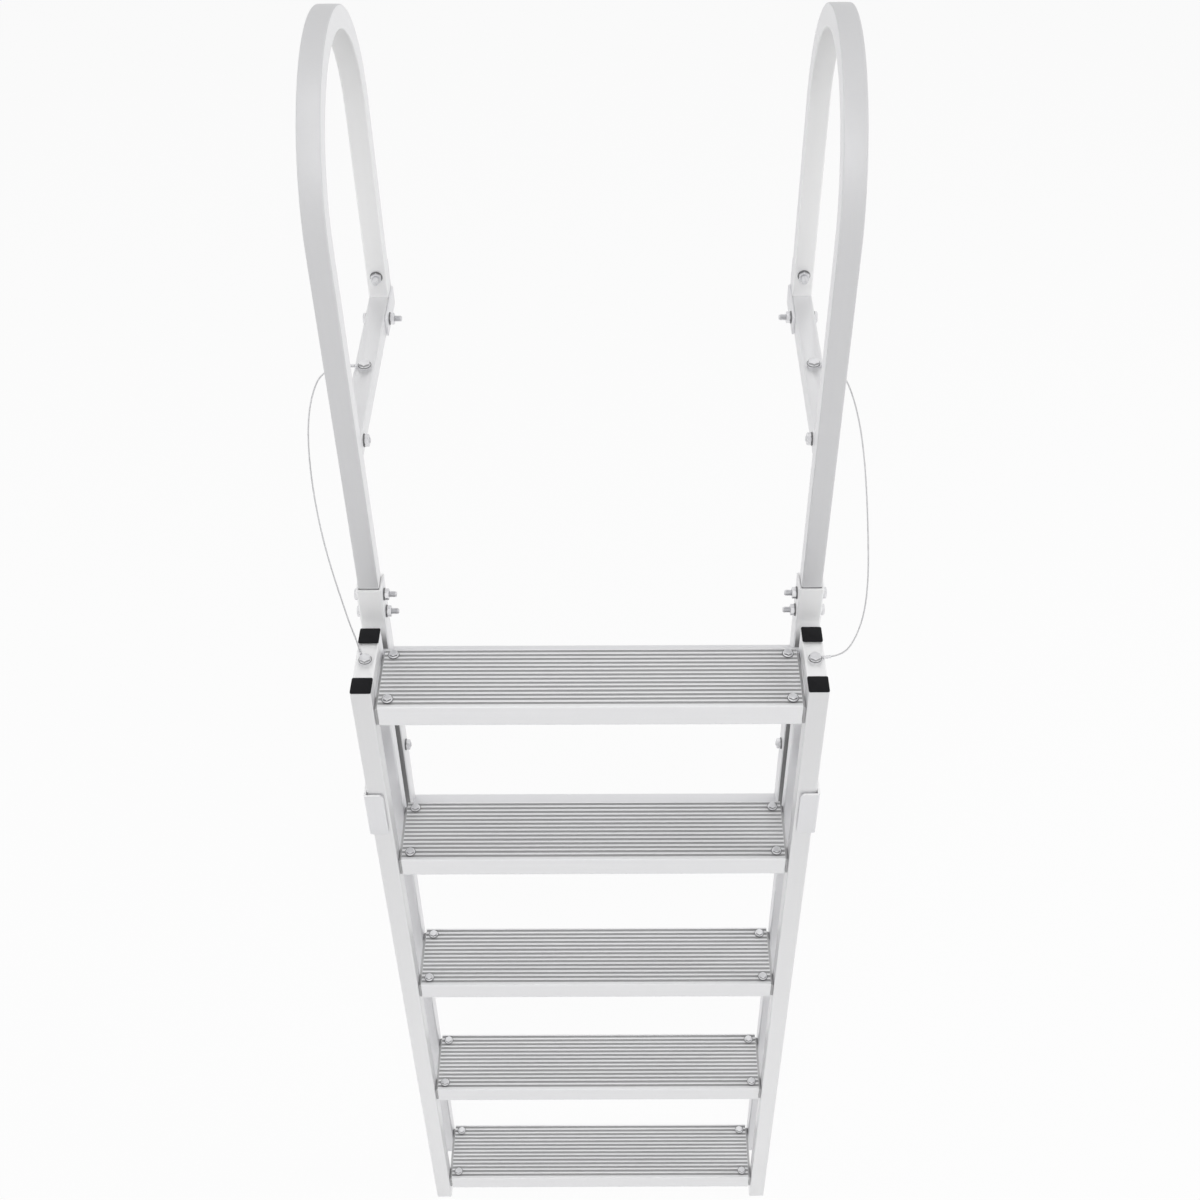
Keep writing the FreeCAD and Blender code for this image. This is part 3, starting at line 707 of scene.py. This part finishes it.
# ---------------------------------------------------------------- drawing and turning
def drawn_face(points):
    """A flat face drawn corner by corner from one point."""
    spots = [Vector(point) for point in points]
    bpy.ops.mesh.primitive_plane_add(size=MM)
    drawn = bpy.context.object
    begin_edit(drawn, "VERT")
    select_whole()
    bpy.ops.mesh.merge(type="CENTER")
    bpy.ops.transform.translate(value=spots[0])
    for here, there in zip(spots, spots[1:]):
        bpy.ops.mesh.extrude_vertices_move(TRANSFORM_OT_translate={"value": there - here})
    select_whole()
    bpy.ops.mesh.edge_face_add()
    end_edit()
    return drawn


def near(value, goal, reach=0.02 * MM):
    return abs(value - goal) < reach


PLAIN_EASE = 0.3 * MM
FLAT = math.radians(0.2)


def eased_copy(node):
    """The shape of a plain piece with its flat faces made whole and its edges softened."""
    mesh = frame["nodes"][node].data.copy()
    twin = bpy.data.objects.new(node + "_eased", mesh)
    bpy.context.collection.objects.link(twin)
    begin_edit(twin)
    select_whole()
    bpy.ops.mesh.remove_doubles(threshold=SAME_SPOT)
    bpy.ops.mesh.dissolve_limited(angle_limit=FLAT)
    bpy.ops.mesh.normals_make_consistent(inside=False)
    end_edit()
    ease(twin, PLAIN_EASE)
    smooth(twin)
    return twin


# ---------------------------------------------------------------- treads
TREAD_TOP = 58.6 * MM
TREAD_PITCH = 300.0 * MM
TREADS = 5
TREAD_FRONT = -153.0 * MM
TREAD_REAR = -53.0 * MM
TREAD_HALF = RAIL_X - TUBE / 2 - 4.3 * MM
LIP = 32.0 * MM
LIP_RETURN = 9.0 * MM
SKIN = 3.0 * MM
NOSE = 4.0 * MM
NOSE_ROUND = 2.0 * MM
LIP_ROUND = 0.9 * MM
TREAD_END_EASE = 0.25 * MM
RIB_HEIGHT = 1.6 * MM
RIB_WIDE = 3.4 * MM
RIB_PITCH = 6.8 * MM
RIB_COUNT = 14
RIB_ROUND = 0.6 * MM
GROOVE_ROUND = 0.5 * MM
GROOVE_MARGIN = 1.2 * MM
GROOVE_MOUTH = 0.45 * MM


def tread_section():
    """The extrusion's outline in Y and Z, its top at zero."""
    low = -RIB_HEIGHT - SKIN
    points = [
        (TREAD_REAR, -LIP),
        (TREAD_REAR - LIP_RETURN, -LIP),
        (TREAD_REAR - LIP_RETURN, SKIN - LIP),
        (TREAD_REAR - SKIN, SKIN - LIP),
        (TREAD_REAR - SKIN, low),
        (TREAD_FRONT + SKIN, low),
        (TREAD_FRONT + SKIN, SKIN - LIP),
        (TREAD_FRONT + LIP_RETURN, SKIN - LIP),
        (TREAD_FRONT + LIP_RETURN, -LIP),
        (TREAD_FRONT, -LIP),
        (TREAD_FRONT, 0),
    ]
    for rib in range(RIB_COUNT):
        edge = TREAD_FRONT + NOSE + RIB_WIDE / 2 + rib * RIB_PITCH
        far = edge + RIB_PITCH - RIB_WIDE
        points += [(edge, 0), (edge, -RIB_HEIGHT), (far, -RIB_HEIGHT), (far, 0)]
    points.append((TREAD_REAR, 0))
    return points


def tread():
    """One ribbed tread: drawn in section, its corners rounded, and drawn out to length."""
    piece = drawn_face([(-TREAD_HALF, y, z) for y, z in tread_section()])
    begin_edit(piece, "VERT")
    pick("verts", lambda v: near(v.co.y, TREAD_FRONT) and near(v.co.z, 0))
    round_corners(NOSE_ROUND, 6)
    first, last = TREAD_FRONT + NOSE, TREAD_REAR - 1 * MM
    pick("verts", lambda v: near(v.co.z, 0) and first < v.co.y < last)
    round_corners(RIB_ROUND, 3)
    pick("verts", lambda v: near(v.co.z, -RIB_HEIGHT))
    round_corners(GROOVE_ROUND, 2)
    pick("verts", lambda v: near(v.co.z, -LIP) or (near(v.co.z, 0) and near(v.co.y, TREAD_REAR)))
    round_corners(LIP_ROUND, 3)
    select_whole()
    extrude(2 * TREAD_HALF, 0, 0)
    end_edit()
    tidy_normals(piece)
    begin_edit(piece, "EDGE")
    pick("edges", lambda e: all(near(abs(v.co.x), TREAD_HALF) for v in e.verts))
    bpy.ops.mesh.bevel(offset=TREAD_END_EASE, segments=1, affect="EDGES")
    end_edit()
    tidy_normals(piece)
    smooth(piece, 40)
    return piece


def in_groove(face):
    """True for the bottoms and walls of a tread's grooves."""
    spot = face.calc_center_median()
    between = TREAD_FRONT + NOSE + GROOVE_MARGIN < spot.y < TREAD_REAR - GROOVE_MARGIN
    deep = -RIB_HEIGHT - 0.05 * MM < spot.z < -GROOVE_MOUTH
    return between and deep and abs(face.normal.x) < 0.1


first_tread = finished(tread(), tread_finish)
# The grooves get painted shade.
second_finish(first_tread, groove_painted_shade_finish, in_groove)
for number in range(TREADS):
    step = copied(first_tread, shift=(0, 0, TREAD_TOP - number * TREAD_PITCH))
    node_name = "tread_%d" % (number + 1)
    ridden(step, "ribbed_" + node_name, "ladder", "tread_aluminium", node_name)
bpy.data.objects.remove(first_tread)


# ---------------------------------------------------------------- rail caps
PLUG_DEPTH = 12 * MM
PLUG_TAPER = (0.96, 0.96, 1)
PLUG_CORNER = 0.4 * MM
CAP_EASE = 0.6 * MM


def rail_cap():
    """A moulded cap: a plug in the tube and a thin domed flange over its walls."""
    cap = tube_outline((0, 0, 0))
    extrude(0, 0, CAP_FLANGE)
    end_edit()
    tidy_normals(cap)
    begin_edit(cap)
    pick("faces", lambda f: f.normal.z < -SQUARELY)
    bpy.ops.mesh.inset(thickness=WALL)
    bpy.ops.mesh.remove_doubles(threshold=PLUG_CORNER)
    extrude(0, 0, -PLUG_DEPTH)
    bpy.ops.transform.resize(value=PLUG_TAPER, center_override=(0, 0, 0))
    end_edit()
    ease(cap, CAP_EASE, 50, 3)
    tidy_normals(cap)
    smooth(cap, 40)
    return cap


cap_pattern = rail_cap()
for side, x in (("left", -RAIL_X), ("right", RAIL_X)):
    for end, y in (("front", FRONT_Y), ("rear", REAR_Y)):
        cap = copied(cap_pattern, shift=(x, y, TUBE_TOP))
        dressed(cap, "rail_cap_%s_%s" % (end, side), cap_finish, "ladder", "black_cap", "rail_caps")
bpy.data.objects.remove(cap_pattern)

# ---------------------------------------------------------------- bolts and nuts
TURNS = {
    "right": Matrix.Rotation(math.pi / 2, 4, "Y"),
    "left": Matrix.Rotation(-math.pi / 2, 4, "Y"),
    "dock": Matrix.Rotation(-math.pi / 2, 4, "X"),
    "water": Matrix.Rotation(math.pi / 2, 4, "X"),
    "up": Matrix.Identity(4),
    "down": Matrix.Rotation(math.pi, 4, "X"),
}


# The measures of bolts and nuts, from here to their patterns, are in millimetres.
HEX_CORNER = 7.5
HEX_CHAMFER = 0.7
HEX_SLOPE = 1.73
HEAD_TOP = 5.0
NUT_TOP = 6.6
NUT_RIM = 1.9
HEX_EASE = 0.12
BORE_DEPTH = 1.0
BORE_TAPER = (0.88, 0.88, 1)
WASHER_RADIUS = 8.0
WASHER_THICK = 1.3
WASHER_EDGE = 0.25
BOLT_RADIUS = 4.0
THREAD_PITCH = 1.25
THREAD_DEPTH = 0.62 * THREAD_PITCH
THREAD_STEPS = 24
ROD_DEPTH = 30.0
ROD_CHAMFER = 0.7
# A thread's ridge: how far up a pitch each corner lies, and whether it's at the crest.
RIDGE = ((0.0, False), (0.42, True), (0.54, True), (0.96, False))


def turned_piece(profile, sides):
    """A closed round piece drawn upwards ring by ring, from pairs of height and radius."""
    (height, radius), *rest = profile
    bpy.ops.mesh.primitive_circle_add(
        vertices=sides, radius=radius * MM, fill_type="NGON", location=(0, 0, height * MM)
    )
    piece = bpy.context.object
    settle(piece)
    begin_edit(piece)
    select_whole()
    for next_height, next_radius in rest:
        extrude(0, 0, (next_height - height) * MM)
        scale = next_radius / radius
        bpy.ops.transform.resize(value=(scale, scale, 1), center_override=(0, 0, 0))
        height, radius = next_height, next_radius
    end_edit()
    tidy_normals(piece)
    return piece


def hexagon(corner, low, high, chamfer_low=False):
    """Six flats with the corners turned off at the top, and at the foot of a nut."""
    inner = corner - HEX_SLOPE * HEX_CHAMFER
    profile = [(low, corner)]
    if chamfer_low:
        profile = [(low, inner), (low + HEX_CHAMFER, corner)]
    profile += [(high - HEX_CHAMFER, corner), (high, inner)]
    blank = turned_piece(profile, 60)
    bpy.ops.mesh.primitive_cylinder_add(
        vertices=6, radius=corner * MM, depth=3 * high * MM, location=(0, 0, high * MM)
    )
    flats = bpy.context.object
    settle(flats)
    modify(blank, "BOOLEAN", operation="INTERSECT", object=flats)
    bpy.data.objects.remove(flats)
    tidy_normals(blank)
    ease(blank, HEX_EASE * MM, 40, 1)
    return blank


def washer():
    side, inside = WASHER_RADIUS, WASHER_RADIUS - WASHER_EDGE
    profile = [
        (0, inside),
        (WASHER_EDGE, side),
        (WASHER_THICK - WASHER_EDGE, side),
        (WASHER_THICK, inside),
    ]
    return finished(turned_piece(profile, 48), washer_painted_shade_finish)


def hollow(nut):
    """Sinks the mouth of the bore into a nut's top."""
    begin_edit(nut)
    pick("faces", lambda f: f.normal.z > SQUARELY and near(f.calc_center_median().z, NUT_TOP * MM))
    bpy.ops.mesh.inset(thickness=NUT_RIM * MM)
    extrude(0, 0, -BORE_DEPTH * MM)
    bpy.ops.transform.resize(value=BORE_TAPER, center_override=(0, 0, 0))
    end_edit()


def threaded_rod(thread):
    """A rod with its upper end at a height, and a thread cut in all that is above zero."""
    root = BOLT_RADIUS - THREAD_DEPTH
    chamfer = [(thread - ROD_CHAMFER, root), (thread, root - ROD_CHAMFER)]
    rod = turned_piece([(-ROD_DEPTH, root), *chamfer], 28)
    room = thread - 0.6
    turns = int(room / THREAD_PITCH)
    start = room - turns * THREAD_PITCH
    ridge = drawn_face(
        [
            ((BOLT_RADIUS if crest else root - 0.1) * MM, 0, (start + up * THREAD_PITCH) * MM)
            for up, crest in RIDGE
        ]
    )
    begin_edit(ridge)
    select_whole()
    bpy.ops.mesh.delete(type="ONLY_FACE")
    end_edit()
    modify(
        ridge,
        "SCREW",
        axis="Z",
        screw_offset=THREAD_PITCH * MM,
        iterations=turns - 1,
        steps=THREAD_STEPS,
        render_steps=THREAD_STEPS,
        use_normal_calculate=True,
    )
    begin_edit(ridge)
    select_whole()
    bpy.ops.mesh.fill_holes(sides=4)
    bpy.ops.mesh.normals_make_consistent(inside=False)
    end_edit()
    return finished(joined("threaded_rod", [rod, ridge]), thread_finish)


def set_out(pattern, turn, x, y, z):
    """A copy of a pattern piece, turned from upright and moved to its place."""
    return copied(pattern, shift=(x, y, z), turn=TURNS[turn])


def bolt_head():
    head = finished(hexagon(HEX_CORNER, WASHER_THICK, HEAD_TOP), bolt_finish)
    return joined("bolt_head", [head, washer()])


def bolt_nut():
    nut = hexagon(HEX_CORNER, WASHER_THICK, NUT_TOP, chamfer_low=True)
    hollow(nut)
    return joined("bolt_nut", [finished(nut, bolt_finish), washer()])


def is_flank(face):
    """True for the upright sides of a head."""
    return abs(face.normal.z) < 0.2


def flanged_head(flange, corner, height):
    """A hexagon on a sloping skirt, over the rim of its flange, which is painted dark as shade."""
    rim = turned_piece([(0, flange - 0.2), (0.3, flange), (1.0, flange)], 48)
    finished(rim, washer_painted_shade_finish)
    skirt = turned_piece([(0.9, flange - 0.7), (1.3, flange - 0.8), (2.1, corner - 0.4)], 48)
    head = finished(joined("flanged_head", [skirt, hexagon(corner, 0.8, height)]), bolt_finish)
    # The flanks get painted shade.
    second_finish(head, flank_painted_shade_finish, is_flank)
    return joined("flanged_head", [head, rim])


head_pattern = bolt_head()
nut_pattern = bolt_nut()
long_end = threaded_rod(16.0)
short_end = threaded_rod(8.0)
deck_head = flanged_head(8.2, 7.3, 5.0)
tread_head = flanged_head(7.2, 5.6, 4.8)

CHANNEL_HALF = 15.7 * MM
PLATE = 3 * MM
NUT_FACE = FRAME_X - CHANNEL_HALF
HEAD_FACE = FRAME_X + CHANNEL_HALF
HOOK_FACE = HEAD_FACE + PLATE
BAR_INNER = FRAME_X - TUBE / 2
BAR_OUTER = FRAME_X + TUBE / 2
BAR_BOLT_Z = 339.2 * MM
CROSS_BOLTS = {
    # name: how far aside the head and the nut sit, Y, Z, the end that shows and the solid's name
    "channel_bolt_upper": (HEAD_FACE, NUT_FACE, LEG_Y, 119.2 * MM, long_end, "channel_bolts"),
    "channel_bolt_lower": (HEAD_FACE, NUT_FACE, LEG_Y, 90.2 * MM, long_end, "channel_bolts"),
    "guide_hook_bolt": (HOOK_FACE, NUT_FACE, LEG_Y, -162.3 * MM, short_end, "channel_bolts"),
    "bar_bolt_front": (BAR_OUTER, BAR_INNER, 9.4 * MM, BAR_BOLT_Z, short_end, "bar_bolts"),
    "bar_bolt_rear": (BAR_OUTER, NUT_FACE, 265.6 * MM, BAR_BOLT_Z, long_end, "bar_bolts"),
}
LEG_REAR_Y = LEG_Y + 2 * ARCH_RADIUS
LEG_BOLT_Z = 381.9 * MM
TREAD_BOLT_X = 246.5 * MM
TREAD_BOLT_Y = (-139.5 * MM, -63.5 * MM)


def bolted(name, parts, body, *nodes):
    """Joins the parts of a bolt, if there are several, and smooths them."""
    bolt = joined(name, parts) if len(parts) > 1 else parts[0]
    smooth(bolt, 30)
    ridden(bolt, name, body, "bolt_steel", *nodes)


for name, (head_x, nut_x, y, z, end, node_name) in CROSS_BOLTS.items():
    for side, turn, back, sign in (("left", "right", "left", -1), ("right", "left", "right", 1)):
        parts = [
            set_out(head_pattern, back, sign * head_x, y, z),
            set_out(nut_pattern, turn, sign * nut_x, y, z),
            set_out(end, turn, sign * nut_x, y, z),
        ]
        bolted(name + "_" + side, parts, "dock_frame", node_name)

for side, sign in (("left", -1), ("right", 1)):
    frame_x = sign * FRAME_X
    parts = [
        set_out(head_pattern, "dock", frame_x, LEG_REAR_Y + TUBE / 2 + PLATE, LEG_BOLT_Z),
        set_out(nut_pattern, "water", frame_x, LEG_REAR_Y - TUBE / 2, LEG_BOLT_Z),
        set_out(long_end, "water", frame_x, LEG_REAR_Y - TUBE / 2, LEG_BOLT_Z),
    ]
    bolted("rear_leg_bolt_" + side, parts, "dock_frame", "rear_leg_bolts")

    parts = [set_out(deck_head, "up", frame_x, DECK_BOLT_Y, DECK_TOP + TUBE + EYE_THICK)]
    bolted("deck_bolt_" + side, parts, "dock_frame", "deck_bolts")

    low = TUBE_TOP - TUBE
    parts = [
        set_out(deck_head, "up", sign * RAIL_X, SPACER_Y, TUBE_TOP + EYE_THICK),
        set_out(nut_pattern, "down", sign * RAIL_X, SPACER_Y, low),
        set_out(short_end, "down", sign * RAIL_X, SPACER_Y, low),
    ]
    bolted("spacer_bolt_" + side, parts, "ladder", "spacer_bolts")

for number in range(TREADS):
    top = TREAD_TOP - number * TREAD_PITCH
    parts = [
        set_out(tread_head, "up", x, y, top)
        for x in (-TREAD_BOLT_X, TREAD_BOLT_X)
        for y in TREAD_BOLT_Y
    ]
    bolted("tread_bolts_%d" % (number + 1), parts, "ladder")

for pattern in (head_pattern, nut_pattern, long_end, short_end, deck_head, tread_head):
    bpy.data.objects.remove(pattern)


# ---------------------------------------------------------------- eyelets
EYE_RADIUS = 8 * MM
EYE_RIM = 3.7 * MM
EYE_FLANK = 7 * MM
EYE_EASE = 0.3 * MM
NECK = 1.2 * MM
TONGUE = 1.6 * MM
TONGUE_TAPER = (0.9, 0.9, 0.9)
BARREL_START = 9.5 * MM
CRIMP = 1.85
BARREL = 2.2
# The crimped barrel's heights and radii, in millimetres.
BARREL_PROFILE = (
    [(0, 1.5), (0.5, BARREL), (2.4, BARREL), (2.9, CRIMP), (4.2, CRIMP), (4.7, BARREL)]
    + [(6.1, BARREL), (6.6, CRIMP), (7.9, CRIMP), (8.4, BARREL), (9.6, BARREL), (10, 1.6)]
)


def eyelet(spot, heading, aim, rise):
    """A flat ring under the bolt, its tongue and the crimped barrel on the rope."""
    angle = math.radians(heading)
    ahead = Vector((math.cos(angle), math.sin(angle), 0))
    bpy.ops.mesh.primitive_circle_add(vertices=40, radius=EYE_RADIUS, fill_type="NGON")
    ring = bpy.context.object
    settle(ring)
    begin_edit(ring)
    select_whole()
    bpy.ops.mesh.inset(thickness=EYE_RIM)
    bpy.ops.mesh.delete(type="FACE")
    select_whole()
    extrude(0, 0, EYE_THICK)
    end_edit()
    tidy_normals(ring)
    begin_edit(ring)
    pick(
        "faces",
        lambda f: f.normal.dot(ahead) > SQUARELY and f.calc_center_median().length > EYE_FLANK,
    )
    extrude(*(ahead * NECK))
    extrude(*(ahead * TONGUE + Vector((0, 0, rise * MM - EYE_THICK / 2))))
    bpy.ops.transform.resize(value=TONGUE_TAPER)
    end_edit()
    ease(ring, EYE_EASE, 50, 2)
    barrel = turned_piece(BARREL_PROFILE, 24)
    lean = Vector(aim).to_track_quat("Z", "Y").to_matrix().to_4x4()
    root = ahead * BARREL_START + Vector((0, 0, rise * MM))
    barrel.data.transform(Matrix.Translation(root) @ lean)
    whole = joined("eyelet", [ring, barrel])
    whole.data.transform(Matrix.Translation(spot))
    smooth(whole, 35)
    return whole


DECK_SPOT = (FRAME_X, DECK_BOLT_Y, DECK_TOP + TUBE)
SPACER_SPOT = (RAIL_X, SPACER_Y, TUBE_TOP)
EYELETS = {
    # name: bolt, side, heading in degrees, where the rope leaves to, rise in millimetres, body
    "deck_eyelet_left": (DECK_SPOT, -1, 188, (-1, -0.7, 0.45), 2.5, "dock_frame"),
    "deck_eyelet_right": (DECK_SPOT, 1, -12, (1, -0.6, 0.05), 2.5, "dock_frame"),
    "spacer_eyelet_left": (SPACER_SPOT, -1, 127, (-0.14, 0.12, 0.98), 1.0, "ladder"),
    "spacer_eyelet_right": (SPACER_SPOT, 1, 4, (1, 0.1, 0.12), 2.5, "ladder"),
}
for name, ((x, y, z), sign, heading, aim, rise, body) in EYELETS.items():
    eye = eyelet((sign * x, y, z), heading, aim, rise)
    node_name = "deck_eyelets" if body == "dock_frame" else "spacer_eyelets"
    dressed(eye, name, bolt_finish, body, "bolt_steel", node_name)


# ---------------------------------------------------------------- plain tubes and plates
PLAIN_PIECES = {
    "front_rail": ("ladder_rail_front", rail_painted_light_finish),
    "rear_rail": ("ladder_rail_rear", tube_finish),
    "rail_spacer": ("rail_top_spacer", spacer_finish),
    "hanger": ("hanger_plate", plate_finish),
    "tread_brackets": ("tread_angle_brackets", bracket_painted_shade_finish),
    "base_bar": ("deck_base_bar", base_finish),
    "corner_bracket": ("deck_corner_bracket", plate_finish),
    "channel": ("dock_channel", channel_finish),
    "guide_hook": ("rail_guide_hook", plate_finish),
}
BODIES = frame["record"]["behaviour"]["bodies"]
BODY_OF = {node: body for body, group in BODIES.items() for node in group}
SLOT_OF = {piece["node"]: piece["material_slot"] for piece in frame["record"]["subparts"]}
for stem, (name, finish) in PLAIN_PIECES.items():
    for side in ("left", "right"):
        node_name = stem + "_" + side
        piece = eased_copy(node_name)
        slot_name = SLOT_OF[node_name]
        dressed(piece, name + "_" + side, finish, BODY_OF[node_name], slot_name, node_name)
        if stem == "channel":
            # The channel's front faces get painted light, and painted shade low down behind the
            # rails.
            second_finish(piece, web_painted_light_and_shade_finish, lambda f: f.normal.y < -SQUARELY)
        if stem in ("channel", "guide_hook"):
            # Up-facing faces get a painted highlight.
            second_finish(piece, edge_painted_highlight_finish, lambda f: f.normal.z > SQUARELY)
for end in ("top", "bottom"):
    piece = eased_copy("crossbar_" + end)
    name = "crossbar_" + end
    dressed(piece, "frame_" + name, bar_finish, "dock_frame", "tube_aluminium", name)


# ---------------------------------------------------------------- the solids underneath
FINISHES = {
    "tube_aluminium": tube_finish,
    "tread_aluminium": tread_finish,
    "plate_aluminium": plate_finish,
    "bolt_steel": bolt_finish,
    "wire_rope": rope_finish,
    "black_cap": cap_finish,
}
for node_name, slot_name in SLOT_OF.items():
    finished(frame["nodes"][node_name], FINISHES[slot_name])

# ---------------------------------------------------------------- floor and light
FLOOR_Z = cad_box[0][2] - 0.5 * MM
FLOOR_RADIUS = 9.0
FLOOR_GLOW = 0.94
SKY_LIGHT = (0.11, 0.11, 0.112)
SEEN_RAYS = ("Is Camera Ray", "Is Glossy Ray", "Is Transmission Ray")


def seen_directly(finish):
    """One where a ray comes from the camera, a gloss or a glass."""
    path = finish.tree.nodes.new("ShaderNodeLightPath")
    camera_ray, gloss_ray, glass_ray = [Value(finish, path.outputs[name]) for name in SEEN_RAYS]
    either = camera_ray.maths("MAXIMUM", camera_ray, gloss_ray)
    return either.maths("MAXIMUM", either, glass_ray)


def floor_finish():
    finish = Finish("floor")
    grain = finish.noise(3.0, 2.0)
    matt = finish.node(
        "ShaderNodeBsdfPrincipled",
        None,
        Base_Color=finish.mix(grain, (0.90, 0.90, 0.90), (0.92, 0.92, 0.92)),
        Roughness=0.9,
    )
    glow = finish.node("ShaderNodeEmission", None, Color=(*WHITE, 1), Strength=1.0)
    share = seen_directly(finish) * FLOOR_GLOW
    shader = finish.node("ShaderNodeMixShader", None, share, matt, glow)
    return finish.output(shader)


bpy.ops.mesh.primitive_circle_add(
    vertices=96, radius=FLOOR_RADIUS, fill_type="NGON", location=(0, 0, FLOOR_Z)
)
floor = bpy.context.object
settle(floor)
floor.name = "floor"
floor.data.materials.append(floor_finish())

world = bpy.data.worlds.new("studio")
bpy.context.scene.world = world
sky = Finish("studio", world)
shade = sky.tree.nodes.new("ShaderNodeBackground")
mixed = sky.mix(seen_directly(sky), SKY_LIGHT, WHITE)
sky.tree.links.new(mixed.socket, shade.inputs["Color"])
shade.inputs["Strength"].default_value = 1.0
sky.output(Value(sky, shade.outputs[0]), "ShaderNodeOutputWorld")


def softbox(name, place, aim, size, watts, glossy=True):
    """A square lamp that the camera doesn't see, and that shows in a gloss only if asked."""
    lamp = bpy.data.lights.new(name, "AREA")
    lamp.shape = "SQUARE"
    lamp.size = size
    lamp.energy = watts
    box = bpy.data.objects.new(name, lamp)
    bpy.context.collection.objects.link(box)
    box.location = place
    box.rotation_euler = (Vector(aim) - Vector(place)).to_track_quat("-Z", "Y").to_euler()
    box.visible_camera = False
    box.visible_glossy = glossy


# name, place and aim in metres, width in metres and power in watts
softbox("lamp_left", (-4.2, 0.3, 1.4), (0, 0, -0.2), 3.0, 66, glossy=False)
softbox("lamp_right", (4.2, 0.3, 1.4), (0, 0, -0.2), 3.0, 108, glossy=False)
softbox("lamp_front", (0, -3.2, 3.2), (0, 0, -0.3), 2.6, 108, glossy=False)
softbox("lamp_small", (-0.5, -0.5, 2.8), (0, 0, 0), 0.5, 1)
